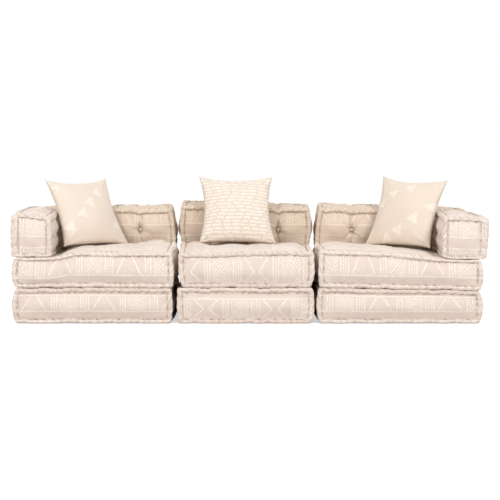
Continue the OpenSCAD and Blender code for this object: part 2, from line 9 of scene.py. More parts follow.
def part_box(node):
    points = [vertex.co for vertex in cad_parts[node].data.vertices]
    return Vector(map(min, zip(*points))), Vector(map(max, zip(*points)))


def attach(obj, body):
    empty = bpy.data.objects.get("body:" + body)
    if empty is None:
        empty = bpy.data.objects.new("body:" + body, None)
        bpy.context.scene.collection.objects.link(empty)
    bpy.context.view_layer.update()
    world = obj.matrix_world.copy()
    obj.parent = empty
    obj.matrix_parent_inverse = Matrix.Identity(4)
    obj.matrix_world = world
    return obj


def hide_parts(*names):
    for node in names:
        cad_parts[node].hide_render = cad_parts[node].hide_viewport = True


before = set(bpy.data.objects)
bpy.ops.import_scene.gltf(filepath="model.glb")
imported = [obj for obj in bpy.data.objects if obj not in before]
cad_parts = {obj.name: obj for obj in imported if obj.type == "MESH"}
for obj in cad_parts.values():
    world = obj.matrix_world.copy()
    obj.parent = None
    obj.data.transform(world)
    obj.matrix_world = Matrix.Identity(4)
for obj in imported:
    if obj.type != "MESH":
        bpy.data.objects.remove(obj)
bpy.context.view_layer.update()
print("frame loaded:", len(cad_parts), "nodes")

modules = ("left", "middle", "right")

# Small helpers for meshes and soft noise

# the six faces of a box: axis, low or high side, and the sign of its way out
boxFaces = [(axis, side, 2 * side - 1) for axis in range(3) for side in (0, 1)]


def others(axis):
    return [i for i in range(3) if i != axis]


def makeObject(name, points, faces, material, smooth=True):
    mesh = bpy.data.meshes.new(name)
    mesh.from_pydata([tuple(p) for p in points], [], [tuple(f) for f in faces])
    mesh.materials.append(material)
    mesh.polygons.foreach_set("use_smooth", [smooth] * len(mesh.polygons))
    mesh.update()
    obj = bpy.data.objects.new(name, mesh)
    bpy.context.scene.collection.objects.link(obj)
    return obj


def readRows(items, key, width=3, kind=float):
    values = np.zeros(len(items) * width, kind)
    items.foreach_get(key, values)
    return values.reshape(-1, width) if width > 1 else values


def readCounts(items, key):
    return readRows(items, key, 1, int)


def softNoise(points, wave, seed, waves=14):
    # a sum of plane waves in seeded directions, about -1 to 1
    rng = np.random.default_rng(seed)
    total = np.zeros(len(points))
    for _ in range(waves):
        direction = rng.normal(size=3)
        direction /= np.linalg.norm(direction)
        stretch = rng.uniform(0.7, 1.4)
        total += np.sin(points @ direction * (2 * math.pi * stretch / wave)
                        + rng.uniform(0, 2 * math.pi))
    return total / math.sqrt(waves) / 1.5


def smoothstep(x):
    x = np.clip(x, 0, 1)
    return x * x * (3 - 2 * x)


def bell(x):
    return np.exp(-x ** 2)


def eased(share, heights):
    # a smooth run through heights that are evenly spaced from share 0 to share 1
    place = np.clip(share, 0, 1) * (len(heights) - 1)
    first = np.minimum(place.astype(int), len(heights) - 2)
    heights = np.array(heights)
    return heights[first] + (heights[first + 1] - heights[first]) * smoothstep(place - first)


class Shape:
    # points, faces and painted shade values gathered from several closed forms

    def __init__(self):
        self.points, self.shades, self.faces, self.count = [], [], [], 0

    def add(self, points, faces, shade=None):
        self.points.append(np.asarray(points, float))
        self.shades.append(np.zeros(len(points)) if shade is None else shade)
        self.faces += [tuple(i + self.count for i in f) for f in faces]
        self.count += len(points)


def tubeFaces(rings, sides, outward=True):
    # quads from ring to ring of a tube, and its two caps
    faces = []
    for r in range(rings):
        for q in range(sides):
            a, b = r * sides + q, r * sides + (q + 1) % sides
            faces.append((a, b, b + sides, a + sides))
    faces.append(tuple(range(sides))[::-1])
    faces.append(tuple(range(rings * sides, (rings + 1) * sides)))
    return faces if outward else [f[::-1] for f in faces]


# Shader helpers


def addNode(tree, kind, inputs=(), **settings):
    # a node with its own settings, and sockets that are set or linked
    node = tree.nodes.new("ShaderNode" + kind)
    for key, value in settings.items():
        setattr(node, key, value)
    fillSockets(node, inputs)
    return node


def fillSockets(node, inputs):
    for key, value in dict(inputs).items():
        if isinstance(value, Signal):
            node.id_data.links.new(value.socket, node.inputs[key])
        else:
            node.inputs[key].default_value = value


def signalsOf(node):
    return {socket.name: Signal(socket) for socket in node.outputs if socket.enabled}


def signalFrom(tree, kind, inputs=(), output=0, **settings):
    return Signal(addNode(tree, kind, inputs, **settings).outputs[output])


class Signal:
    # what leaves a node: to be linked, or calculated with like a number

    def __init__(self, socket):
        self.socket = socket

    def apply(self, operation, *values):
        return calculate(self.socket.id_data, operation, self, *values)

    __add__ = partialmethod(apply, "ADD")
    __sub__ = partialmethod(apply, "SUBTRACT")
    __mul__ = partialmethod(apply, "MULTIPLY")
    __truediv__ = partialmethod(apply, "DIVIDE")
    __abs__ = partialmethod(apply, "ABSOLUTE")

    def __rsub__(self, value):
        return calculate(self.socket.id_data, "SUBTRACT", value, self)

    def wrapped(self, length):
        return self.apply("WRAP", length, 0.0)

    def between(self, low, high):
        return self.apply("GREATER_THAN", low) * self.apply("LESS_THAN", high)

    def clamped(self):
        return signalFrom(self.socket.id_data, "Clamp", {"Value": self})


def calculate(tree, operation, *values):
    return signalFrom(tree, "Math", enumerate(values), operation=operation)


def largest(signals):
    total = signals[0]
    for signal in signals[1:]:
        total = total.apply("MAXIMUM", signal)
    return total


def lineMask(distance, width, softness=0.0012):
    # 1 where |distance| is under half the width, with a soft edge
    return ((width / 2 + softness / 2 - abs(distance)) / softness).clamped()


def splitFlat(tree, vector):
    parts = signalsOf(addNode(tree, "SeparateXYZ", {0: vector}))
    return parts["X"], parts["Y"]


def mixColour(tree, factor, a, b):
    inputs = {"Factor": factor, "A": a, "B": b}
    return signalFrom(tree, "Mix", inputs, "Result", data_type="RGBA")


def noiseNode(tree, vector, scale, detail=2.0, roughness=0.5, output="Fac"):
    inputs = {"Vector": vector, "Scale": scale, "Detail": detail, "Roughness": roughness}
    return signalFrom(tree, "TexNoise", inputs, output)


def stretchedNoise(tree, vector, scale, roughness=0.5, shift=(0, 0, 0)):
    inputs = {"Vector": vector, "Scale": scale, "Location": shift}
    return noiseNode(tree, signalFrom(tree, "Mapping", inputs), 1.0, 3.0, roughness)


def newGroup(name, inputs, outputs):
    # inputs as (label, kind, start value), outputs as (label, kind)
    group = bpy.data.node_groups.new(name, "ShaderNodeTree")
    for label, kind, value in inputs:
        socket = group.interface.new_socket(name=label, in_out="INPUT",
                                            socket_type="NodeSocket" + kind)
        if value is not None:
            socket.default_value = value
    for label, kind in outputs:
        group.interface.new_socket(name=label, in_out="OUTPUT", socket_type="NodeSocket" + kind)
    inside = group.nodes.new("NodeGroupInput")
    return group, signalsOf(inside), group.nodes.new("NodeGroupOutput")


def newMaterial(name):
    material = bpy.data.materials.new(name)
    material.use_nodes = True
    material.node_tree.nodes.clear()
    return material, material.node_tree


weaveStyle = {
    "slub": (14, 420, 1),  # noise cells per metre, along and across a thread
    "weftSlub": (420, 14, 1),
    "weftShift": (3, 7, 0),
    "clouds": 9.0,  # cells per metre of the uneven dye
    "blotches": (90, 130, 1),
    "toneOfSlubs": 0.35,
    "toneOfBlotches": 1.1,
    "toneOfClouds": 0.3,
}


def makeWeaveGroup():
    # hand-loomed cotton: crossing threads with slubs, and uneven dye
    group, inside, outside = newGroup(
        "cottonWeave",
        [("Cloth", "Vector", None), ("Threads", "Float", 550.0), ("Slubs", "Float", 0.5)],
        [("Height", "Float"), ("Tone", "Float")])
    cloth = inside["Cloth"]
    warpRidge, weftRidge = [(part * inside["Threads"] * (2 * math.pi)).apply("SINE")
                            for part in splitFlat(group, cloth)]
    slubs = stretchedNoise(group, cloth, weaveStyle["slub"]) \
        + stretchedNoise(group, cloth, weaveStyle["weftSlub"], shift=weaveStyle["weftShift"])
    blotches = stretchedNoise(group, cloth, weaveStyle["blotches"], 0.7) - 0.5
    clouds = noiseNode(group, cloth, weaveStyle["clouds"], 4.0, 0.6)
    tone = slubs * weaveStyle["toneOfSlubs"] + blotches * weaveStyle["toneOfBlotches"] \
        + clouds * weaveStyle["toneOfClouds"]
    fillSockets(outside, {"Height": warpRidge * weftRidge * 0.5 + slubs * inside["Slubs"],
                          "Tone": tone.clamped()})
    return group


printStyle = {
    "lowBand": 0.085,  # height of the band with open roofs
    "highBand": 0.108,  # and of the band with arrows
    "plain": 0.050,  # plain stripe between two lines
    "line": 0.008,
    "margin": 0.004,  # between the motifs and a line
    "repeat": 0.400,  # length of the motif row along the cloth
    "stroke": 0.0076,  # width of a printed stroke
    "wander": 0.010,  # how far the hand print strays
    "wanderScale": 42,  # and in how many noise cells per metre
    "worn": (55.0, 5.0, 0.30, 3.4),  # see wornPrint
    "pair": 0.165,  # width of a roof or an arrow
    "tip": 0.016,  # half the gap at its tip
    "inset": 0.006,  # from both ends of its cell
    "roofSlope": 0.62,
    "slantStroke": {True: 1.2, False: 1.41},  # a roof's and an arrow's, in strokes
    "bars": ((0.172, 3, False), (0.340, 4, True)),  # start, number, and whether some are dotted
    "barPitch": 0.0152,
    "dots": (0.011, 0.0072),  # pitch and length
    "nest": (0.224, 0.108),  # start and width of the nested chevrons
    "nestPitch": 0.0185,
    "nestSlope": 0.95,
}


def wornPrint(tree, cloth, scale, detail, start, slope):
    # where the ink took: noise from start on, brought to 1 by the slope
    return ((noiseNode(tree, cloth, scale, detail, 0.7) - start) * slope).clamped()


def bandInk(along, up, bottom, height, roof):
    # one row of motifs between two lines
    stroke, pair, pitch = printStyle["stroke"], printStyle["pair"], printStyle["barPitch"]
    y = up - (bottom + height / 2)
    rise = abs(y)
    reach = (height / 2 - y) * printStyle["roofSlope"] if roof else rise
    slant = abs(along - pair / 2) - printStyle["tip"] - reach
    inset = printStyle["inset"]
    inks = [lineMask(slant, stroke * printStyle["slantStroke"][roof])
            * along.between(inset, pair - inset)]
    dotPitch, dot = printStyle["dots"]
    dots = y.wrapped(dotPitch).apply("LESS_THAN", dot)
    for start, bars, dotted in printStyle["bars"]:
        offset = along - start
        bar = lineMask(offset.wrapped(pitch) - pitch / 2, stroke * 0.9)
        if dotted:
            bar = bar * dots.apply("MAXIMUM", 1.0 - offset.between(pitch, 3 * pitch))
        inks.append(bar * along.between(start, start + bars * pitch))
    # chevrons that point at the middle of their cell
    start, width = printStyle["nest"]
    pitch = printStyle["nestPitch"]
    ramp = abs(along - (start + width / 2)) - rise * (width / height * printStyle["nestSlope"])
    ring = (ramp + pitch / 2).wrapped(pitch) - pitch / 2
    inks.append(lineMask(ring, stroke * 1.1) * along.between(start, start + width))
    margin = printStyle["margin"]
    return largest(inks) * up.between(bottom + margin, bottom + height - margin)


def makePrintGroup():
    # the white block print, laid out in metres over the cloth
    group, inside, outside = newGroup("blockPrint", [("Cloth", "Vector", None)],
                                      [("Ink", "Float"), ("Plain", "Float")])
    cloth, wander = inside["Cloth"], printStyle["wander"]
    shake = noiseNode(group, cloth, printStyle["wanderScale"], output="Color")
    x, y = splitFlat(group, signalFrom(group, "VectorMath", {
        0: shake, 1: (wander, wander, 0), 2: cloth}, operation="MULTIPLY_ADD"))
    line, plain = printStyle["line"], printStyle["plain"]
    low, high = printStyle["lowBand"], printStyle["highBand"]
    plainFrom = line + low + line
    highFrom = plainFrom + plain + line
    lastFrom = highFrom + high + line
    rowHeight = low + high + 2 * plain + 4 * line
    along, up = x.wrapped(printStyle["repeat"]), y.wrapped(rowHeight)
    inks = [bandInk(along, up, line, low, True), bandInk(along, up, highFrom, high, False)]
    for above in (line, plainFrom, highFrom, lastFrom):
        inks.append(lineMask(up - (above - line / 2), line * 0.85))
    worn = wornPrint(group, cloth, *printStyle["worn"])
    fillSockets(outside, {
        "Ink": largest(inks) * worn,
        "Plain": largest([up.between(plainFrom, plainFrom + plain),
                          up.between(lastFrom, rowHeight)])})
    return group


# painted shade: a dark colour mixed in where the mesh's own attribute says, in stitched grooves,
# pinches, dimples and creases
def makePaintedShadeGroup():
    # shade that gathers in stitched grooves and dimples, from the mesh's own attribute
    group, inside, outside = newGroup(
        "grooveShade",
        [("Colour", "Color", None), ("Shade", "Color", (0.55, 0.42, 0.32, 1)),
         ("Amount", "Float", 0.5)],
        [("Colour", "Color")])
    groove = signalFrom(group, "Attribute", output="Fac", attribute_name="groove")
    amount = (groove * inside["Amount"]).clamped()
    fillSockets(outside, {"Colour": mixColour(group, amount, inside["Colour"], inside["Shade"])})
    return group


weaveGroup = makeWeaveGroup()
printGroup = makePrintGroup()
paintedShadeGroup = makePaintedShadeGroup()


def useGroup(tree, group, inputs):
    return signalsOf(addNode(tree, "Group", inputs, node_tree=group))


def weaveOn(tree, coords, threads, slubs):
    return useGroup(tree, weaveGroup, {"Cloth": coords, "Threads": threads, "Slubs": slubs})


def clothCoords(tree):
    return signalFrom(tree, "UVMap", uv_map="cloth")


def finishCloth(tree, colour, weave, roughness, sheen, bumpDepth):
    bump = signalFrom(tree, "Bump", {"Strength": 0.6, "Distance": bumpDepth,
                                     "Height": weave["Height"]})
    shader = signalFrom(tree, "BsdfPrincipled", {
        "Base Color": colour, "Roughness": roughness, "Sheen Weight": sheen,
        "Sheen Roughness": 0.5, "Specular IOR Level": 0.15, "Normal": bump})
    addNode(tree, "OutputMaterial", {"Surface": shader})


cottonStyle = {
    "ground": (0.822, 0.708, 0.634),
    "groundDeep": (0.705, 0.580, 0.498),
    "stripe": (0.735, 0.615, 0.540),
    "ink": (0.955, 0.880, 0.800),
    "stripeCover": 0.32,
    "inkCover": 0.80,
    # the shade colour below is painted shade, for grooves, pinches and dimples
    "shade": (0.32, 0.21, 0.13, 1),  # in grooves and dimples
    "shadeAmount": 0.55,
    "weave": (520.0, 0.6),  # threads per metre, and slubs
    "finish": (0.92, 0.15, 0.0012),  # roughness, sheen and bump depth
    # tints: painted shade that makes the back bolsters' cloth darker and warmer, the middle one most
    "lots": {"mattress": (1.0, 1.0, 1.0), "endBack": (0.96, 0.93, 0.85),
             "middleBack": (0.90, 0.865, 0.775)},
}


# mixes the painted shade colour into a cloth colour where the mesh's attribute asks
def withPaintedShade(tree, colour, amount):
    return useGroup(tree, paintedShadeGroup, {"Colour": colour, "Shade": cottonStyle["shade"],
                                        "Amount": amount})["Colour"]


def makePrintedCotton(lot):
    # a tint below 1 is painted shade
    tint = cottonStyle["lots"][lot]
    ground, deep, stripe, ink = (tuple(c * t for c, t in zip(cottonStyle[key], tint)) + (1,)
                                 for key in ("ground", "groundDeep", "stripe", "ink"))
    material, tree = newMaterial(lot + "Cotton")
    cloth = clothCoords(tree)
    weave = weaveOn(tree, cloth, *cottonStyle["weave"])
    inked = useGroup(tree, printGroup, {"Cloth": cloth})
    colour = mixColour(tree, weave["Tone"], ground, deep)
    colour = mixColour(tree, inked["Plain"] * cottonStyle["stripeCover"], colour, stripe)
    colour = mixColour(tree, inked["Ink"] * cottonStyle["inkCover"], colour, ink)
    finishCloth(tree, withPaintedShade(tree, colour, cottonStyle["shadeAmount"]), weave,
                *cottonStyle["finish"])
    return material


yarnStyle = {
    "weave": (900.0, 0.8),
    "finish": (0.9, 0.2, 0.0008),
    # light and dark
    "pomCotton": ((0.72, 0.61, 0.50, 1), (0.52, 0.41, 0.31, 1)),
    "waxedTwine": ((0.48, 0.39, 0.30, 1), (0.32, 0.24, 0.17, 1)),
}


def makeYarn(name):
    material, tree = newMaterial(name)
    weave = weaveOn(tree, signalFrom(tree, "TexCoord", output="Object"), *yarnStyle["weave"])
    colour = mixColour(tree, weave["Tone"], *yarnStyle[name])
    finishCloth(tree, colour, weave, *yarnStyle["finish"])
    return material


cottons = {lot: makePrintedCotton(lot) for lot in cottonStyle["lots"]}
pomCotton = makeYarn("pomCotton")
waxedTwine = makeYarn("waxedTwine")
print("cloth materials ready")

# Mattresses and bolsters. Each is made in its own frame (u, v, w), where w is the way the tufts run.

padStyle = {
    "step": 0.014,  # cell of the simulated cloth
    "tuck": 0.0100,  # how far the panels start inside the rolls
    "seam": 0.0275,  # width of the stitched border beside an edge
    "shoulder": 0.11,  # how far in from a seam the cover reaches its full swell
    "rollRadius": 0.0162,
    "rollSides": 14,
    "rollStep": 0.0058,
    "plump": 0.0013,  # how much fuller a roll may be in places
    "pinchStep": 0.041,  # distance between two hand stitches
    "stepRange": (0.65, 1.45),  # least and most of that distance, as a share
    "pinchDepth": 0.0068,
    "depthRange": (0.45, 1.15),
    "pinchWidth": 0.55,  # the higher, the wider
    # softness of the pinches, and radius of the thread
    "uprightRoll": (0.75, 0.0013),
    "flatRoll": (1.0, 0.0019),
    "slant": 0.36,  # how much a pinch runs along the roll as it goes round
    "wander": 0.0068,  # how far a roll may shrink from its neighbour
    "press": 0.0050,  # how far a roll is squeezed where a pad lies on something
    "stitch": 0.0085,  # half the length of a hand stitch
    "dents": ((0.0022, 0.16, 11), (0.0009, 0.045, 31)),  # depth, wave length, seed
    "pucker": 0.0034,
    "puckerReach": 0.020,
    "dimpleReach": 0.062,
    "fold": 0.26,  # height of the folds round a tuft, as a share of its dimple
    "creaseStray": (0.006, 38),  # how far a crease strays, and how often
    "creaseSize": (0.009, 0.14),  # its width and length
    # width and reach of the painted shade along a crease, then its spread round a tuft
    "creaseShade": (0.005, 0.09),  # and those of its shade
    "tuftShade": 0.016,
    "cornersFrom": (0.30, 0.26),  # where front corners start to be drawn in, and the run of it
    "riseFrom": (0.35, 0.5),  # the same for a top's rise, as shares of the height
    "cornerLift": (0.003, 0.045),  # how high the foot's corners curl, and how far in
    "pomRadius": 0.0105,
    "topShift": 0.1,  # how far the print on a top is shifted from that on the front
    "start": 0.55,  # share of the planned swell from which the cloth is simulated
    "slide": 0.005,  # most that the cloth may slide sideways
    "follow": 0.38,  # share of a face's swell that follows the cloth's wrinkles
    "wrinkle": (-0.6, 1.15),  # lowest and highest, as shares of the cloth's own greatest swell
    "frames": 20,
}
# for the cloth modifier, under its own names
clothSettings = {
    "quality": 6,
    "mass": 0.35,
    "tension_stiffness": 12,
    "compression_stiffness": 12,
    "shear_stiffness": 5,
    "bending_stiffness": 0.35,
    "shrink_min": -0.035,  # cloth cut larger than the frame, so that it wrinkles
    "use_pressure": True,
    "uniform_pressure_force": 4.0,
    "vertex_group_mass": "held",
}


def closedGrid(counts):
    # the surface points of a box lattice, and its outward quads
    index, faces = {}, []
    for axis in (2, 1, 0):
        a, b = others(axis)
        for side in (0, 1):
            for p, q in np.ndindex(counts[a], counts[b]):
                quad = []
                for nextP, nextQ in ((0, 0), (1, 0), (1, 1), (0, 1)):
                    cell = [side * counts[axis]] * 3
                    cell[a], cell[b] = p + nextP, q + nextQ
                    quad.append(index.setdefault(tuple(cell), len(index)))
                faces.append(tuple(quad if (side == 1) != (axis == 1) else quad[::-1]))
    return np.array(list(index), float) / np.array(counts, float), faces


def sideProfile(t, size):
    # 0 at the seams beside a face and 1 over its middle
    d = np.minimum(t, 1 - t) * size - padStyle["seam"]
    return smoothstep(d / min(padStyle["shoulder"], size / 2 - padStyle["seam"])) ** 0.8


def faceSwell(pad, share, axis, side):
    # how far a face stands proud of its rolls at each point, in metres
    size, tuck = pad["size"], padStyle["tuck"]
    a, b = others(axis)
    profile = sideProfile(share[:, a], size[a]) * sideProfile(share[:, b], size[b])
    out = (pad["swell"][axis][side] + tuck) * profile
    lobes, crown = pad["lobes"], pad["crown"]
    if lobes and axis == 2 and side == lobes["side"]:
        waist = bell((share[:, 1] - 0.5) / lobes["waist"])
        out = (lobes["swell"] + tuck) * profile * (1 - lobes["pull"] * waist)
    if crown and axis == 2 and side == 1:
        rise = np.ones(len(share))
        for n, (low, high) in enumerate((crown["u"], crown["v"])):
            t = share[:, n] * size[n]
            rise *= smoothstep(np.minimum(t - low, high - t) / crown["run"])
        out = np.minimum(out, tuck) + crown["height"] * rise
    return out


def simulateCloth(obj, pinned):
    # air pressure inside the cover, with its seams and tufts held
    group = obj.vertex_groups.new(name="held")
    group.add([int(i) for i in np.nonzero(pinned)[0]], 1.0, "REPLACE")
    cloth = obj.modifiers.new("cloth", "CLOTH")
    for key, value in clothSettings.items():
        setattr(cloth.settings, key, value)
    cloth.settings.effector_weights.gravity = 0
    cloth.collision_settings.use_collision = False
    scene = bpy.context.scene
    scene.frame_start = 1
    scene.frame_end = padStyle["frames"]
    for number in range(1, padStyle["frames"] + 1):
        scene.frame_set(number)
    graph = bpy.context.evaluated_depsgraph_get()
    result = readRows(obj.evaluated_get(graph).to_mesh().vertices, "co")
    obj.modifiers.remove(cloth)
    scene.frame_set(1)
    return result


def padBody(name, pad):
    # the filled cover between the rolls
    size, tuck, step = pad["size"], padStyle["tuck"], padStyle["step"]
    share, faces = closedGrid([max(6, int(round(s / step))) for s in size])
    points = tuck + share * (size - 2 * tuck)
    local = share * size
    fromEdge = np.minimum(local, size - local)
    out = np.zeros((len(share), 3))
    nearSeam = np.zeros(len(share), bool)
    for axis, side, sign in boxFaces:
        on = share[:, axis] == side
        out[on, axis] += sign * faceSwell(pad, share[on], axis, side)
        nearSeam |= on & (fromEdge[:, others(axis)] < padStyle["seam"]).any(axis=1)
    tufted = np.zeros(len(share), bool)
    for u, v in pad["tufts"]:
        tufted |= np.hypot(local[:, 0] - u, local[:, 1] - v) < step * 0.75
    tufted &= (share[:, 2] == 0) | (share[:, 2] == 1)
    result = points + out
    start = points + padStyle["start"] * out
    obj = makeObject(name + "_sim", start, faces, waxedTwine)
    moved = simulateCloth(obj, nearSeam | tufted) - start
    bpy.data.objects.remove(obj)
    result = start.copy()
    follow = padStyle["follow"]
    for axis, side, sign in boxFaces:
        # the cloth's wrinkles, kept near the planned swell
        on = (share[:, axis] == side) & ~nearSeam
        proud = moved[on, axis] * sign
        most = np.percentile(np.abs(proud), 97) + 1e-6
        wrinkle = np.clip(proud / most, *padStyle["wrinkle"])
        want = out[on, axis] * sign
        result[on, axis] = points[on, axis] + sign * want * (1 - follow + follow * wrinkle)
        for other in others(axis):
            result[on, other] += np.clip(moved[on, other], -padStyle["slide"],
                                         padStyle["slide"])
    obj = makeObject(name + "_body", result, faces, waxedTwine)
    obj.modifiers.new("smooth", "SUBSURF").levels = 1
    graph = bpy.context.evaluated_depsgraph_get()
    mesh = bpy.data.meshes.new_from_object(obj.evaluated_get(graph))
    bpy.data.objects.remove(obj)
    points = readRows(mesh.vertices, "co")
    return dressBody(pad, points), [tuple(p.vertices) for p in mesh.polygons]


def creaseBend(pad, u, dv):
    # how far the crease through a tuft strays sideways
    stray, often = padStyle["creaseStray"]
    return stray * np.sin(dv * often + pad["seed"] + u * 9)


def dressBody(pad, points):
    # dimples with their creases, and puckers along the stitched seams
    size, seed = pad["size"], pad["seed"]
    width, length = padStyle["creaseSize"]
    result = points.copy()
    rng = np.random.default_rng(seed)
    nearest = np.argmin(np.stack([points, size - points], 2).reshape(-1, 6), axis=1)
    for axis, side, sign in boxFaces:
        on = nearest == 2 * axis + side
        near = points[on]
        dents = sum(depth * softNoise(near, wave, seed + shift + 2 * axis + side)
                    for depth, wave, shift in padStyle["dents"])
        push = np.zeros(len(near))
        for other in others(axis):
            third = 3 - axis - other
            d = np.minimum(near[:, other], size[other] - near[:, other]) - padStyle["seam"]
            ripple = np.abs(np.sin(near[:, third] * math.pi / padStyle["pinchStep"]
                                   + 1.7 * softNoise(near, 0.3, seed + 5 + third)))
            push -= padStyle["pucker"] * (1 - ripple) \
                * np.exp(-np.clip(d, 0, 1) / padStyle["puckerReach"])
        for u, v in pad["tufts"] if axis == 2 else ():
            du, dv = near[:, 0] - u, near[:, 1] - v
            rho, angle, turn = np.hypot(du, dv), np.arctan2(dv, du), rng.uniform(0, 2 * math.pi)
            depth = pad["dimple"][side]
            folds = (np.cos(5 * angle + turn) + 0.9 * np.cos(9 * angle + 2.3 * turn)) / 1.9
            spread = np.clip(rho / 0.014, 0, 1) * bell(rho / 0.060)
            push -= pad["crease"] * bell((du - creaseBend(pad, u, dv)) / width) \
                * np.exp(-np.abs(dv) / length)
            push -= depth * np.clip(1 - rho / padStyle["dimpleReach"], 0, 1) ** 1.7
            push += depth * padStyle["fold"] * folds * spread
        result[on, axis] += sign * (dents + push)
    return result


def stitchPlaces(length, seed):
    # places of the hand stitches along a roll, unevenly spaced
    count = max(2, int(round(length / padStyle["pinchStep"])))
    gaps = np.random.default_rng(seed).uniform(*padStyle["stepRange"], count)
    return np.concatenate([[0], np.cumsum(gaps) / gaps.sum()]) * length


def addRoll(shape, pad, start, end, outs, pressed, softness, seed):
    # the stuffed roll along one edge, pinched where it is stitched
    up, length = pad["up"], np.linalg.norm(end - start)
    along = (end - start) / length
    rings, sides = max(4, int(length / padStyle["rollStep"])), padStyle["rollSides"]
    s = np.linspace(0, length, rings + 1)
    angle = np.arange(sides) * 2 * math.pi / sides
    stitches = stitchPlaces(length, seed)
    phase = np.interp(s, stitches, np.arange(len(stitches)))
    turns = phase[:, None] + padStyle["slant"] * np.sin(angle[None, :] - math.pi / 4)
    full = np.abs(np.sin(math.pi * turns)) ** padStyle["pinchWidth"]
    depths = np.random.default_rng(seed + 7).uniform(*padStyle["depthRange"], len(stitches))
    pinch = np.interp(s, stitches, depths)[:, None]
    centre = start + s[:, None] * along
    plump = padStyle["plump"] * np.clip(softNoise(centre, 0.11, seed + 9), -1, 0.6)
    radius = padStyle["rollRadius"] + plump[:, None] \
        - pinch * padStyle["pinchDepth"] * softness * (1 - full)
    ends = smoothstep(np.minimum(s, length - s) / 0.05)
    for n, out in enumerate(outs):
        level = 0.42 + 1.1 * softNoise(centre, 0.13, seed + 1 + n)
        inward = np.clip(level, 0.06, 1) ** 1.4
        if out[up] and pressed:  # only a few short gaps stay open
            inward = np.clip(1.6 * level - 0.55, 0, 1)
        share = 1.0 if out[up] else 0.25
        centre = centre - (padStyle["wander"] * share * ends * inward)[:, None] * out
    ring = np.cos(angle)[None, :, None] * outs[0] + np.sin(angle)[None, :, None] * outs[1]
    points = (centre[:, None, :] + radius[:, :, None] * ring).reshape(-1, 3)
    points[:, up] = np.clip(points[:, up], 0, pad["size"][up])
    outward = np.cross(outs[0], outs[1]) @ along > 0
    # the last values paint shade into the pinches
    shape.add(points, tubeFaces(rings, sides, outward), ((1 - full) ** 2 * pinch).ravel())
    return stitches, along


def addBall(shape, centre, radius, squash=(1, 1, 1), rows=8, columns=14, bumps=None):
    points, faces = [(0, 0, -1)], []
    for r in range(1, rows):
        lat = -math.pi / 2 + math.pi * r / rows
        for c in range(columns):
            lon = 2 * math.pi * c / columns
            points.append((math.cos(lat) * math.cos(lon), math.cos(lat) * math.sin(lon),
                           math.sin(lat)))
    points = np.array(points + [(0, 0, 1)], float)
    if bumps is not None:
        points = points * bumps(points)[:, None]
    base, top = 1 + (rows - 2) * columns, len(points) - 1
    for c in range(columns):
        d = (c + 1) % columns
        faces.append((0, 1 + d, 1 + c))
        for r in range(rows - 2):
            a, b = 1 + r * columns + c, 1 + r * columns + d
            faces.append((a, b, b + columns, a + columns))
        faces.append((base + c, base + d, top))
    shape.add(points * radius * np.array(squash) + centre, faces)


def addStitch(shape, a, b, outward, radius):
    # a short piece of thread that dips into the cloth at both ends
    along = (b - a) / np.linalg.norm(b - a)
    side = np.cross(along, outward)
    side /= np.linalg.norm(side)
    lift = np.cross(side, along)
    sides, points = 6, []
    for t, height, thick in ((0, -0.6, 0.5), (0.2, 0.5, 1), (0.8, 0.5, 1), (1, -0.6, 0.5)):
        middle = a + (b - a) * t + outward * radius * 1.2 * height
        for q in range(sides):
            turn = 2 * math.pi * q / sides
            points.append(middle + radius * thick * (math.cos(turn) * side
                                                     + math.sin(turn) * lift))
    shape.add(points, tubeFaces(3, sides))


def addRolls(shape, threads, pad):
    # a roll along each of the twelve edges, a stitch over both its sides at each pinch
    size, up, radius = pad["size"], pad["up"], padStyle["rollRadius"]
    for number, (axis, *corner) in enumerate(np.ndindex(3, 2, 2), 1):
        start, end = np.zeros(3), np.zeros(3)
        start[axis], end[axis] = radius, size[axis] - radius
        softness, thread = padStyle["uprightRoll" if axis == up else "flatRoll"]
        pressed, outs = False, []
        for other, side in zip(others(axis), corner):
            start[other] = end[other] = size[other] - radius if side else radius
            outs.append(np.eye(3)[other] * (2 * side - 1))
        for other, side, out in zip(others(axis), corner, outs):
            if other == up and side in pad["pressed"]:
                pressed = True
                start, end = start + padStyle["press"] * out, end + padStyle["press"] * out
            elif other == up and side:
                softness *= pad["topSoftness"]
        stitches, along = addRoll(shape, pad, start, end, outs, pressed, softness,
                                  pad["seed"] * 40 + number)
        for out, other in (outs, outs[::-1]):
            line = start - other * radius * 0.90 + out * (radius - padStyle["tuck"] + 0.0016)
            for s in stitches[1:-1]:
                ends = [line + along * (s + way * padStyle["stitch"]) + other * way * 0.0025
                        for way in (-1, 1)]
                addStitch(threads, *ends, out, thread)
    for corner in np.ndindex(2, 2, 2):
        addBall(shape, np.where(np.array(corner), size - radius, radius), radius)


def addPoms(shape, pad):
    rng = np.random.default_rng(pad["seed"] + 900)
    for side in (0, 1):
        for (u, v), height in zip(pad["tufts"], pad["pomHeight"][side]):
            turn = rng.uniform(0, 2 * math.pi)

            def yarn(p, turn=turn):
                lon = np.arctan2(p[:, 1], p[:, 0])
                return 1 + 0.10 * np.cos(9 * lon + turn) * np.sqrt(np.clip(1 - p[:, 2] ** 2, 0, 1)) \
                    + 0.05 * np.cos(4 * lon - turn)

            centre = (u, v, pad["size"][2] + height if side else -height)
            addBall(shape, centre, padStyle["pomRadius"], (1, 1, 0.62), 10, 28, yarn)


def layCloth(mesh, uv):
    mesh.uv_layers.new(name="cloth").data.foreach_set("uv", uv.ravel())


def layPaintedShade(mesh, value):
    # painted shade: how dark each point is painted, for lying in a seam's groove, a pinch or a
    # tuft's dimple
    mesh.attributes.new("groove", "FLOAT", "POINT").data.foreach_set(
        "value", value.astype(np.float32))


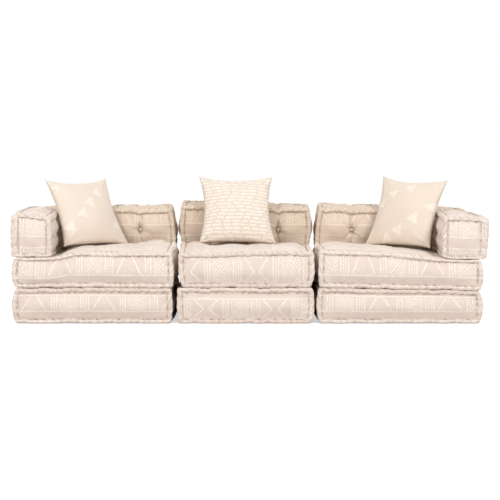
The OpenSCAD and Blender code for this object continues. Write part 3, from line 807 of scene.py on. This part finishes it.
def padCoords(mesh, points, shift):
    # cloth coordinates in metres, laid on from the side that each face looks to
    facing = np.argmax(np.abs(readRows(mesh.polygons, "normal")), axis=1)
    facing = np.repeat(facing, readCounts(mesh.polygons, "loop_total"))
    corners = points[readCounts(mesh.loops, "vertex_index")]
    uv = np.zeros((len(corners), 2))
    for axis in range(3):
        on = facing == axis
        uv[on] = corners[on][:, others(axis)]
    uv[facing == 2, 1] += padStyle["topShift"]
    return uv + np.array(shift)


def padPaintedShade(pad, local, pinchPaintedShade):
    # painted shade along the stitched seams, in the pinches, and round the tufts and their creases
    size = pad["size"]
    order = np.sort(np.minimum(local, size - local), axis=1)
    line = 2 * padStyle["rollRadius"] - 0.001
    seam = bell((order[:, 1] - line) / 0.0050) * (order[:, 0] < 0.013)
    patchy = 0.45 + 0.35 * np.clip(softNoise(local, 0.06, pad["seed"] + 77), -1, 1)
    value = np.maximum(patchy * seam, pinchPaintedShade)
    width, length = padStyle["creaseShade"]
    for side in (0, 1):
        near = (local[:, 2] > size[2] / 2) == bool(side)
        for u, v in pad["tufts"]:
            du, dv = local[:, 0] - u, local[:, 1] - v
            value = np.maximum(value, near * bell(np.hypot(du, dv) / padStyle["tuftShade"]))
            fold = bell((du - creaseBend(pad, u, dv)) / width) * np.exp(-np.abs(dv) / length)
            value = np.maximum(value, 40 * pad["crease"] * near * fold)
    return value


def bowed(pad, points):
    # the filling pushes the sides out between the corners, which stay drawn in
    size, up = pad["size"], pad["up"]
    height = np.clip(points[:, up] / size[up], 0, 1)
    middle, moved = 2 * points / size - 1, points.copy()
    cornersFrom, cornersRun = padStyle["cornersFrom"]
    riseFrom, riseRun = padStyle["riseFrom"]
    lift, liftRun = padStyle["cornerLift"]
    for axis, side, sign in boxFaces:
        if axis == up:
            continue
        foot, half, top = pad["bow"][axis][side]
        curve = (foot * (1 - height) * (1 - 2 * height) + 4 * half * height * (1 - height)
                 + top * height * (2 * height - 1))
        if up == 2:
            drawn = smoothstep((cornersFrom - points[:, 1]) / cornersRun)
            curve = np.where(curve < 0, curve * drawn, curve)
        if axis == 0 and pad["innerBow"][side]:
            # fuller behind the front, so that the gap beside a neighbour closes there
            amount, low, high, fade = pad["innerBow"][side]
            along = smoothstep((points[:, 1] - low) / (high - low)) \
                * smoothstep((fade - points[:, 1]) / 0.18)
            curve = curve + amount * along * np.clip(1.2 - 0.7 * np.abs(2 * height - 0.9), 0, 1)
        moved[:, axis] += sign * np.clip(sign * middle[:, axis], 0, 1) ** 3 * curve
    fromCorner = np.minimum(points, size - points)[:, others(up)].sum(axis=1)
    moved[:, up] += smoothstep((height - riseFrom) / riseRun) * pad["rise"](points)
    moved[:, up] += lift * np.exp(-np.clip(fromCorner, 0, 1) / liftRun) * (1 - height)
    return moved


setStyle = {
    "drift": ((0.0022, 0.50), (0.0022, 0.55), (0.0030, 0.60)),  # amount and wave length
    # what the arms' weight does at the right and left end of the set: (height, shift) pairs
    "armWeight": {
        1: ((0.22, 0.0), (0.365, 0.0), (0.436, -0.027), (0.62, 0.0)),
        -1: ((0.22, 0.0), (0.29, -0.018), (0.365, 0.005), (0.436, -0.017), (0.62, 0.0))},
    "armsFrom": (1.04, 0.16),  # distance from the middle where that starts, and its run
    "frontFrom": (0.02, 0.25),
    "sag": {"depth": 0.021, "height": 0.25, "spread": 0.13, "from": 0.45, "run": 0.93},
    "floor": 0.0004,
}


def settle(mesh):
    # slow unevenness over the whole set, the same on both sides of each contact
    points = readRows(mesh.vertices, "co")
    x, y, z = points.T
    flat = points * np.array([1.0, 1.0, 0.6])
    drift = [amount * softNoise(flat, wave, 701 + axis)
             for axis, (amount, wave) in enumerate(setStyle["drift"])]
    x += drift[0]
    y += drift[1]
    z += drift[2] * np.clip(z / 0.15, 0, 1)
    # the front ends of the arms weigh on the seats and flatten the rolls between them
    (armsFrom, armsRun), (frontFrom, frontRun) = setStyle["armsFrom"], setStyle["frontFrom"]
    front = smoothstep((-y - frontFrom) / frontRun)
    for way, squeeze in setStyle["armWeight"].items():
        shift = np.zeros(len(points))
        for (low, before), (high, after) in zip(squeeze, squeeze[1:]):
            on = (z >= low) & (z < high)
            shift[on] = before + (after - before) * smoothstep((z[on] - low) / (high - low))
        z += shift * front * smoothstep((way * x - armsFrom) / armsRun)
    sag = setStyle["sag"]
    level = bell((z - sag["height"]) / sag["spread"])
    z -= sag["depth"] * level * np.clip((x - sag["from"]) / sag["run"], 0, 1) * front
    z[:] = np.maximum(z, setStyle["floor"])
    mesh.vertices.foreach_set("co", points.ravel())
    mesh.update()


# what a piece's settings may change, and what its function may add
styleDefaults = {"up": 2, "pressed": (0,), "crease": 0, "topSoftness": 1.0, "dimple": None}
padDefaults = {"lobes": None, "crown": None, "innerBow": (None, None), "lot": "mattress",
               "rise": lambda points: 0.0}


def buildPad(side, kind, style, seed, pad):
    name = side + "_" + kind
    taken = {key: style.get(key, value) for key, value in styleDefaults.items()}
    poms = [style["pom"]] * len(pad["tufts"])
    pad = {**taken, **padDefaults, "pomHeight": (poms, poms), **pad, "seed": seed,
           "size": np.array(pad["size"]), "clothShift": style["clothShift"][side]}
    shape, threads, poms = Shape(), Shape(), Shape()
    shape.add(*padBody(name, pad))
    addRolls(shape, threads, pad)
    addPoms(poms, pad)
    pieces = []
    for form, label, material, slot in (
            (shape, "_padding", cottons[pad["lot"]], "printed_cotton"),
            (threads, "_stitching", waxedTwine, "tuft_cotton"),
            (poms, "_poms", pomCotton, "tuft_cotton")):
        points = bowed(pad, np.concatenate(form.points))
        obj = makeObject(name + label, points, form.faces, material)
        obj.data.transform(pad["place"])
        settle(obj.data)
        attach(obj, name)
        pieces.append(obj)
    body, _, tufts = pieces
    local, turn = np.concatenate(shape.points), np.array(pad["place"].to_3x3())
    flatCloth = local @ turn.T + np.array(pad["place"].translation)
    layCloth(body.data, padCoords(body.data, flatCloth, pad["clothShift"]))
    layPaintedShade(body.data, padPaintedShade(pad, local, np.concatenate(shape.shades)))
    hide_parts(name + "_cover", name + "_filling")
    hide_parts(name + "_tufts")
    print("made", name, len(body.data.vertices), "points")


def placed(origin, u, v, w):
    # the pad's own frame, from its corner and the ways of its three sides
    return Matrix.Translation(origin) @ Matrix((u, v, w)).transposed().to_4x4()


def tuftGrid(size, across, deep):
    return [(u * size[0], v * size[1]) for v in deep for u in across]


quarters = (0.25, 0.5, 0.75)
flatWay = ((1, 0, 0), (0, 1, 0), (0, 0, 1))

baseStyle = {
    "bulge": 0.012,
    "swell": 0.003,
    # how far each end, and then the front and rear, stand out at the foot, middle and top
    "bow": {"left": ((0.004, 0.029, 0.002), (-0.005, 0.008, -0.003)),
            "middle": ((0.010, 0.016, 0.012), (0.004, 0.020, 0.006)),
            "right": ((-0.002, 0.018, 0.004), (0.012, 0.031, 0.010))},
    "depth": (0.001, 0.008, 0.001),
    # bulge beside a neighbour: how much, and where it starts, is full and has gone
    "inner": dict.fromkeys(modules, (0.013, 0.12, 0.42, 9)),
    "pressed": (0, 1),
    "dimple": (0.012, 0.012),  # depth at the low and high end of a tuft
    "pom": -0.010,  # height of the poms over the rolls
    "clothShift": {"left": (0.133, -0.077), "middle": (0.328, 0.116),
                   "right": (0.105, -0.077)},
}


def mattressBows(side, style):
    inner, depth = style["inner"][side], style["depth"]
    return {"bow": (style["bow"][side], (depth, depth)),
            "innerBow": (None if side == "left" else inner, None if side == "right" else inner)}


def makeBase(side, seed):
    low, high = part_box(side + "_base_cover")
    bulge, swell = baseStyle["bulge"], baseStyle["swell"]
    size = (high.x - low.x - 2 * bulge, high.y - low.y - 2 * bulge, high.z - low.z)
    buildPad(side, "base", baseStyle, seed, {
        **mattressBows(side, baseStyle),
        "size": size,
        "swell": ((swell, swell), (bulge, bulge), (-0.001, -0.001)),
        "tufts": tuftGrid(size, quarters, quarters),
        "place": placed(Vector((low.x + bulge, low.y + bulge, low.z)), *flatWay),
    })


seatStyle = {
    "bulge": 0.012,
    "swell": 0.003,
    "face": 0.0115,
    "gap": 0.0003,  # between a seat and the back bolster on it
    "seam": 0.030,
    "bow": {"left": ((0.006, 0.029, 0.002), (0.006, 0.017, 0.004)),
            "middle": ((-0.018, 0.004, 0.002), (-0.006, 0.018, 0.006)),
            "right": ((0.000, 0.008, 0.002), (0.012, 0.031, 0.006))},
    "depth": (0.001, 0.008, 0.001),
    "inner": {"left": (0.024, 0.12, 0.34, 0.52), "middle": (0.020, 0.30, 0.55, 9),
              "right": (0.024, 0.12, 0.34, 0.52)},
    "dimple": (0.012, 0.022),
    "pom": -0.010,
    "topPom": -0.020,  # height of the poms on the crown
    "topSoftness": 0.65,  # of the pinches in the top's rolls
    "crown": {"left": 0.044, "middle": 0.047, "right": 0.044},
    # rise of the top's free edges, from the left end to the right
    "edgeRise": {"left": (0.029, 0.030, 0.031, 0.031, 0.031),
                 "middle": (0.024, 0.023, 0.032, 0.036, 0.033),
                 "right": (0.041, 0.036, 0.031, 0.031, 0.031)},
    # extra swell at the left and right end where nothing leans, just before the back bolster
    "hump": {"left": (0.0, 0.028), "middle": (0.028, 0.004), "right": (0.014, 0.0)},
    "humpWidth": {"left": 0.21, "middle": 0.15, "right": 0.21},
    "humpFrom": (0.02, 0.34),  # distance from the front where it starts, and its run
    "beforeBack": (0.004, 0.085, 0.030),  # room left, and the runs of the rise and the humps
    "besideArm": {"left": (0.030, 0.18), "right": (0.010, 0.35)},  # how far under, and the run
    "run": 0.052,
    "margin": 0.010,
    "clothShift": {"left": (0.388, -0.290), "middle": (0.034, -0.098),
                   "right": (0.203, -0.292)},
}


def makeSeat(side, seed):
    low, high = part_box(side + "_seat_cover")
    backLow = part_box(side + "_back_cover")[0]
    bulge, seam, margin = seatStyle["bulge"], seatStyle["seam"], seatStyle["margin"]
    size = (high.x - low.x - 2 * bulge, high.y - low.y - 2 * bulge,
            backLow.z - seatStyle["gap"] - low.z)
    origin = Vector((low.x + bulge, low.y + bulge, low.z))
    # the part of the top on which nothing lies
    across = [seam, size[0] - seam]
    if side == "left":
        across[0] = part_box("left_arm_cover")[1].x + margin - origin.x
    if side == "right":
        across[1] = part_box("right_arm_cover")[0].x - margin - origin.x
    depth = [seam, backLow.y - margin - origin.y]
    rises, humps = seatStyle["edgeRise"][side], seatStyle["hump"][side]
    (humpFrom, humpRun), (room, riseEnd, humpEnd) = seatStyle["humpFrom"], seatStyle["beforeBack"]
    crown = seatStyle["crown"][side] - sum(rises) / len(rises)

    def edgeRise(points):
        # the top swells at its free edges, and is pressed flat under the bolsters
        x, y, _ = points.T
        share, clear = x / size[0], backLow.y - room - origin.y - y
        total = eased(share, rises) * smoothstep(clear / riseEnd)
        ends = [smoothstep(1.35 - way * size[0] / seatStyle["humpWidth"][side])
                for way in (share, 1 - share)]
        total = total + (humps[0] * ends[0] + humps[1] * ends[1]) * smoothstep(clear / humpEnd) \
            * smoothstep((y - humpFrom) / humpRun)
        if side == "middle":
            return total
        slack, run = seatStyle["besideArm"][side]
        inside = x - across[0] + slack if side == "left" else across[1] + slack - x
        return total * smoothstep(inside / run)

    tufts, topPoms = tuftGrid(size, quarters, quarters), []
    for u, v in tufts:
        inside = min(u - across[0], across[1] - u, v - depth[0], depth[1] - v)
        swell = crown * float(smoothstep(inside / seatStyle["run"]))
        topPoms.append(swell + seatStyle["topPom"] if inside > 0.03 else seatStyle["pom"])
    buildPad(side, "seat", seatStyle, seed, {
        **mattressBows(side, seatStyle),
        "size": size,
        "swell": ((seatStyle["swell"],) * 2, (seatStyle["face"],) * 2, (-0.001, 0)),
        "crown": {"height": crown, "u": across, "v": depth, "run": seatStyle["run"]},
        "tufts": tufts,
        "pomHeight": ([seatStyle["pom"]] * 9, topPoms),
        "rise": edgeRise,
        "place": placed(origin, *flatWay),
    })


backStyle = {
    "up": 1,  # a bolster stands on its side
    "bulge": 0.012,
    "endSwell": 0.0115,
    "face": 0.012,
    "thickness": 0.222,
    "crown": {"left": 0.028, "middle": 0.046, "right": 0.028},
    # how far each end stands out at its foot, middle and top
    "bow": {"left": ((0, 0, 0), (-0.013, -0.014, -0.044)),
            "middle": ((-0.008, 0.012, 0.0), (-0.008, 0.013, -0.004)),
            "right": ((-0.010, -0.013, -0.038), (0, 0, 0))},
    "faceBow": (0.001, 0.004, 0.002),
    "topSwell": 0.005,
    "dimple": (0.024, 0.024),
    "crease": 0.014,
    "pom": -0.013,
    # how far the top rolls stand above the pad's nominal height, from the left end to the right
    "frontRise": {"left": (0.016, 0.016), "middle": (0.036, 0.033, 0.024),
                  "right": (0.023, 0.018, 0.014)},
    "rearRise": {"left": (0.022, 0.036, 0.038, 0.040, 0.042),
                 "middle": (0.066, 0.068, 0.066, 0.058, 0.038),
                 "right": (0.047, 0.045, 0.040, 0.032, 0.016)},
    "tuftDip": ((0.006, 0.045), (0.006, 0.018)),  # how far a tuft pulls the top down, and reach
    "clothShift": {"left": (0.085, -0.546), "middle": (0.341, -0.546), "right": (0.18, -0.546)},
}


def makeBack(side, seed):
    low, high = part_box(side + "_back_cover")
    bulge = backStyle["bulge"]
    front, rear = backStyle["frontRise"][side], backStyle["rearRise"][side]
    size = (high.x - low.x - 2 * bulge, high.z - low.z - backStyle["crown"][side],
            backStyle["thickness"])
    rearSide = (low.y + high.y) / 2 + size[2] / 2
    tufts = tuftGrid(size, quarters, (0.5,))

    def topRise(points):
        # the rear roll stands higher, and each tuft draws the top down
        share = points[:, 0] / size[0]
        total = eased(share, rear) + (eased(share, front) - eased(share, rear)) \
            * points[:, 2] / size[2]
        for u, _ in tufts:
            for dip, reach in backStyle["tuftDip"]:
                total = total - dip * bell((points[:, 0] - u) / reach)
        return total

    buildPad(side, "back", backStyle, seed, {
        "size": size,
        "swell": ((backStyle["endSwell"],) * 2, (-0.001, backStyle["topSwell"]),
                  (backStyle["face"],) * 2),
        "tufts": tufts,
        "bow": (backStyle["bow"][side], None, (backStyle["faceBow"],) * 2),
        "rise": topRise,
        "place": placed(Vector((low.x + bulge, rearSide, low.z)), (1, 0, 0), (0, 0, 1),
                        (0, -1, 0)),
        # the back bolsters take the darker tints of painted shade
        "lot": "middleBack" if side == "middle" else "endBack",
    })


armStyle = {
    "up": 1,
    "thickness": {"left": 0.216, "right": 0.244},
    "face": 0.008,
    "crown": 0.009,
    "end": 0.008,
    "endBow": (0, 0.006, 0),
    "topSwell": 0.007,
    "bow": {"left": ((0.022, 0.024, 0.016), (0.0, 0.004, -0.002)),
            "right": ((-0.002, 0.001, -0.008), (0.014, 0.028, 0.028))},
    # the inner face swells above and below the waist that its tufts pull in
    "lobes": {"swell": 0.022, "waist": 0.12, "pull": 0.95},
    # rise of the top's rolls from the left side to the right, and the dome behind the front end
    "rise": {"left": (0.008, 0.018, 0.012, 0.004, -0.012),
             "right": (-0.002, 0.000, -0.001, -0.005, -0.012)},
    "dome": {"left": 0.020, "right": 0.012},
    "domeRun": 0.22,
    "dimple": (0.024, 0.024),
    "crease": 0.004,
    "pom": -0.015,
    "clothShift": {"left": (0.33, -0.525), "right": (0.19, -0.525)},
}


def makeArm(side, seed):
    low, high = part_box(side + "_arm_cover")
    end = armStyle["end"]
    size = (high.y - low.y - 2 * end, high.z - low.z - armStyle["crown"],
            armStyle["thickness"][side])
    leftSide = (low.x + high.x) / 2 - size[2] / 2

    def topRise(points):
        return eased(points[:, 2] / size[2], armStyle["rise"][side]) \
            + armStyle["dome"][side] * smoothstep(points[:, 0] / armStyle["domeRun"])

    buildPad(side, "arm", armStyle, seed, {
        "size": size,
        "swell": ((end, end), (-0.001, armStyle["topSwell"]), (armStyle["face"],) * 2),
        "tufts": tuftGrid(size, (1 / 3, 2 / 3), (0.5,)),
        "bow": ((armStyle["endBow"],) * 2, None, armStyle["bow"][side]),
        "rise": topRise,
        "lobes": {**armStyle["lobes"], "side": int(side == "left")},
        "place": placed(Vector((leftSide, low.y + end, low.z)), (0, 1, 0), (0, 0, 1), (1, 0, 0)),
    })


for number, side in enumerate(modules):
    makeBase(side, 10 + number)
    makeSeat(side, 20 + number)
    makeBack(side, 30 + number)
for number, side in enumerate(("left", "right")):
    makeArm(side, 40 + number)

# Throw pillows

pillowStyle = {
    "size": 0.450,
    "thickness": 0.150,
    "draw": {"top": 0.036, "sides": 0.033, "foot": 0.012},  # how far the seams curve in
    # how far the cloth reaches past the solid's corners: top left, top right, low left, low right
    "reach": {"left": ((-0.008, 0.022), (-0.020, 0.018), (-0.018, 0.022), (-0.006, 0.004)),
              "middle": ((-0.016, 0.014), (-0.006, 0.016), (-0.010, 0.016), (0.012, 0.016)),
              "right": ((0.002, 0.030), (0.018, 0.006), (0.002, 0.008), (0.012, 0.002))},
    "cells": 56,
    "lean": {"left": 30, "middle": 26, "right": 27},
    "turn": {"left": 39, "middle": 0, "right": -36},
    "ink": {"left": (0.895, 0.800, 0.690, 1), "middle": (0.910, 0.835, 0.735, 1),
            "right": (0.900, 0.810, 0.700, 1)},
    "inkCover": 0.95,
    "worn": (45.0, 4.0, 0.22, 2.6),
    "ground": {"left": (0.830, 0.715, 0.610, 1), "middle": (0.785, 0.672, 0.568, 1),
               "right": (0.830, 0.710, 0.590, 1)},
    "deep": 0.88,  # tone of the darker threads, as a share of the ground
    "shadeAmount": 0.4,
    "weave": (700.0, 0.7),
    "finish": (0.9, 0.15, 0.0008),
    "fold": 0.0052,  # wrinkles out of the corners
    "pucker": 0.0013,  # and along the seams
    "dent": 0.0045,
}
dashStyle = {"row": 0.0225, "length": 0.056, "thickness": 0.0118, "sag": 0.016, "shift": 0.022}
# each triangle as (across, up, size, turn in degrees)
pillowTriangles = {
    "left": ((-0.190, 0.180, 0.040, 30), (0.064, 0.116, 0.064, 31), (-0.016, 0.046, 0.068, 33),
             (-0.083, -0.020, 0.068, 40), (-0.178, -0.092, 0.064, 35), (0.145, -0.109, 0.048, 35)),
    "right": ((-0.072, 0.108, 0.062, 17), (0.031, 0.153, 0.060, 21), (-0.144, 0.041, 0.058, 34),
              (0.196, 0.032, 0.070, 37), (0.105, -0.058, 0.068, 37), (0.017, -0.134, 0.066, 34),
              (-0.060, -0.182, 0.060, 66)),
}


def dashInk(tree, cloth, x, y):
    # staggered rows of short horizontal dashes of uneven length
    row, length = dashStyle["row"], dashStyle["length"]
    y = noiseNode(tree, cloth, 13.0).apply("MULTIPLY_ADD", dashStyle["sag"], y)
    number = (y / row).apply("FLOOR")
    offset = ((number * 12.9).apply("SINE") * 43.7).apply("FRACT") * length
    run = x + offset + noiseNode(tree, cloth, 22.0) * dashStyle["shift"]
    uneven = noiseNode(tree, cloth, 30.0, 1.0).apply("MULTIPLY_ADD", length * 0.5, length * -0.25)
    inside = lineMask(abs(run.wrapped(length) - length / 2) + uneven, length * 0.80, 0.006)
    return inside * lineMask(y.wrapped(row) - row / 2, dashStyle["thickness"], 0.003)


def triangleInk(x, y, triangles):
    inks = []
    for across, up, size, turn in triangles:
        dx, dy = x - across, y - up
        for k in range(3):
            way = math.radians(turn) + math.pi / 2 + k * 2 * math.pi / 3
            distance = dx.apply("MULTIPLY_ADD", math.cos(way), dy * math.sin(way))
            edge = ((size * 0.36 - distance) / 0.003).clamped()
            inside = inside * edge if k else edge
        inks.append(inside)
    return largest(inks)


def makePillowCloth(side):
    material, tree = newMaterial(side + "PillowCotton")
    cloth = clothCoords(tree)
    weave = weaveOn(tree, cloth, *pillowStyle["weave"])
    ground = pillowStyle["ground"][side]
    deep = tuple(c * pillowStyle["deep"] for c in ground[:3]) + (1,)
    x, y = splitFlat(tree, cloth)
    ink = dashInk(tree, cloth, x, y) if side == "middle" else triangleInk(
        x, y, pillowTriangles[side])
    worn = wornPrint(tree, cloth, *pillowStyle["worn"])
    colour = mixColour(tree, ink * worn * pillowStyle["inkCover"],
                       mixColour(tree, weave["Tone"], ground, deep), pillowStyle["ink"][side])
    finishCloth(tree, withPaintedShade(tree, colour, pillowStyle["shadeAmount"]), weave,
                *pillowStyle["finish"])
    return material


def pillowPlace(side):
    # the pillow's own frame, found again from the solid's box and its known lean and turn
    lean = math.radians(pillowStyle["lean"][side])
    turn = math.radians(pillowStyle["turn"][side])
    spin = Matrix.Rotation(turn, 4, "Z") @ Matrix.Rotation(math.pi / 2 - lean, 4, "X")
    half = pillowStyle["size"] / 2
    corners = [spin @ Vector((half * a, half * b, 0)) for a in (-1, 1) for b in (-1, 1)]
    low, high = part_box(side + "_pillow_cover")
    middle = (low.x + high.x) / 2
    x = middle - (min(p.x for p in corners) + max(p.x for p in corners)) / 2
    z = high.z - max(p.z for p in corners)
    solid = readRows(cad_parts[side + "_pillow_cover"].data.vertices, "co")
    top = solid[np.argmax(solid[:, 2])]
    # of two upper corners as high as each other, the one on the side of the solid's highest point
    lead = 0.001 if top[0] > middle else -0.001
    peak = max(corners, key=lambda p: p.z + lead * p.x)
    return Matrix.Translation((x, top[1] - peak.y, z)) @ spin


def pillowPoints(side):
    # the front half of the cover, with its share from -1 to 1 across and up
    cells, spread = pillowStyle["cells"], math.radians(76)
    t = np.sin(spread * (2 * np.arange(cells + 1) / cells - 1)) / math.sin(spread)
    a, b = np.meshgrid(t, t, indexing="xy")
    half = pillowStyle["size"] / 2
    draw = {edge: depth / half for edge, depth in pillowStyle["draw"].items()}
    upDraw = draw["foot"] + (draw["top"] - draw["foot"]) * (1 + b) / 2
    u = half * a * (1 - draw["sides"] * (1 - b * b))
    v = half * b * (1 - upDraw * (1 - a * a))
    w = pillowStyle["thickness"] / 2 * np.sqrt(np.clip((1 - a * a) * (1 - b * b), 0, 1)) ** 1.05
    weights = ((1 - a) * (1 + b), (1 + a) * (1 + b), (1 - a) * (1 - b), (1 + a) * (1 - b))
    for weight, (du, dv) in zip(weights, pillowStyle["reach"][side]):
        u = u + du * weight / 4
        v = v + dv * weight / 4
    return np.stack([u.ravel(), v.ravel(), w.ravel()], 1), a.ravel(), b.ravel()


def makePillow(side, seed):
    cells = pillowStyle["cells"]
    n = cells + 1
    points, a, b = pillowPoints(side)
    front = np.arange(n * n).reshape(n, n)
    inner = front[1:-1, 1:-1].ravel()
    rear = front.copy()
    rear[1:-1, 1:-1] = n * n + np.arange(len(inner)).reshape(n - 2, n - 2)
    points = np.concatenate([points, points[inner] * np.array([1, 1, -1])])
    a, b = np.concatenate([a, a[inner]]), np.concatenate([b, b[inner]])
    faces = []
    for j, i in np.ndindex(cells, cells):
        for grid, way in ((front, 1), (rear, -1)):
            quad = (grid[j, i], grid[j, i + 1], grid[j + 1, i + 1], grid[j + 1, i])
            faces.append(quad[::way])
    # wrinkles that run out of the corners and along the seams
    acrossRim, upRim = 1 - np.abs(a), 1 - np.abs(b)
    rim = np.clip(np.minimum(acrossRim, upRim), 0, 1)
    corner = np.clip(1 - np.hypot(acrossRim, upRim) / 0.75, 0, 1)
    folds = np.cos(9 * np.arctan2(upRim, acrossRim) + seed) * corner ** 1.3 \
        * np.clip(rim / 0.12, 0, 1) * (1.0 - 0.5 * b)
    alongSeam = np.where(np.abs(b) > np.abs(a), a, b)
    puckers = np.cos(alongSeam * 34 + 2 * softNoise(points, 0.2, seed)) \
        * np.exp(-rim / 0.07) * (rim > 0)
    dents = softNoise(points, 0.17, seed + 3) * np.clip(rim / 0.3, 0, 1)
    points[:, 2] += np.sign(points[:, 2]) * (
        pillowStyle["fold"] * folds + pillowStyle["pucker"] * puckers
        + pillowStyle["dent"] * dents)
    obj = makeObject(side + "_pillow_padding", points, faces, makePillowCloth(side))
    layCloth(obj.data, points[readCounts(obj.data.loops, "vertex_index")][:, :2])
    # painted shade along the pillow's rim seam
    layPaintedShade(obj.data, np.exp(-rim / 0.02) * 0.5)
    obj.data.transform(pillowPlace(side))
    settle(obj.data)
    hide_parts(side + "_pillow_cover", side + "_pillow_insert")
    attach(obj, side + "_pillow")
    print("made", side, "pillow")


for number, side in enumerate(modules):
    makePillow(side, 50 + number)

# Floor, light and camera

studioStyle = {
    "floorSize": 40.0,
    "floorColour": (0.78, 0.78, 0.78, 1),
    "floorGlow": 0.60,
    "worldLight": 0.60,
    # each lamp as (place, target, size, watts)
    "lamps": {"softboxLeft": ((-3.4, -4.0, 4.3), (0, 0, 0.3), (1.6, 1.6), 170),
              "softboxRight": ((3.4, -4.0, 4.3), (0, 0, 0.3), (1.6, 1.6), 170),
              "softboxRear": ((0, 5.0, 4.6), (0, 0.2, 0.3), (3.2, 1.6), 70)},
    "cameraPlace": (0.005, -8.80, 1.07),
    "cameraPitch": 4.30,
    "lens": 103.4,
    "sensor": 36,
}


def makeFloor():
    # pale grey to the lamps, and white to the camera
    half = studioStyle["floorSize"] / 2
    material, tree = newMaterial("paleFloor")
    seen = signalFrom(tree, "LightPath", output="Is Camera Ray")
    diffuse = signalFrom(tree, "BsdfDiffuse", {"Color": studioStyle["floorColour"]})
    glow = signalFrom(tree, "Emission", {"Strength": seen * studioStyle["floorGlow"]})
    addNode(tree, "OutputMaterial", {"Surface": signalFrom(tree, "AddShader",
                                                           enumerate((diffuse, glow)))})
    corners = [(-half, -half, 0), (half, -half, 0), (half, half, 0), (-half, half, 0)]
    floor = makeObject("floor", corners, [(0, 1, 2, 3)], material, smooth=False)


def makeWorld():
    # white to the camera and in reflections, and dimmer as a light
    world = bpy.data.worlds.new("studio")
    bpy.context.scene.world = world
    world.use_nodes = True
    tree = world.node_tree
    tree.nodes.clear()
    path = signalsOf(addNode(tree, "LightPath"))
    lit = path["Is Camera Ray"].apply("MAXIMUM", path["Is Glossy Ray"].apply(
        "MAXIMUM", path["Is Transmission Ray"]))
    back = signalFrom(tree, "Background", {
        "Color": (1, 1, 1, 1), "Strength": lit + (1.0 - lit) * studioStyle["worldLight"]})
    addNode(tree, "OutputWorld", {"Surface": back})


def addToScene(name, data, place):
    obj = bpy.data.objects.new(name, data)
    bpy.context.scene.collection.objects.link(obj)
    obj.location = place
    return obj


def makeLamp(name, place, target, size, energy):
    lamp = bpy.data.lights.new(name, "AREA")
    lamp.shape = "RECTANGLE"
    lamp.size, lamp.size_y = size
    lamp.energy = energy
    aim = Vector(target) - Vector(place)
    addToScene(name, lamp, place).rotation_euler = aim.to_track_quat("-Z", "Y").to_euler()


def makeCamera():
    camera = bpy.data.cameras.new("camera")
    camera.lens = studioStyle["lens"]
    camera.sensor_width = studioStyle["sensor"]
    camera.clip_end = 100
    viewer = addToScene("camera", camera, studioStyle["cameraPlace"])
    viewer.rotation_euler = (math.radians(90 - studioStyle["cameraPitch"]), 0, 0)
    bpy.context.scene.camera = viewer


makeFloor()
makeWorld()
for name, lamp in studioStyle["lamps"].items():
    makeLamp(name, *lamp)
makeCamera()
bpy.context.scene.view_settings.view_transform = "Standard"
print("stage and camera ready")
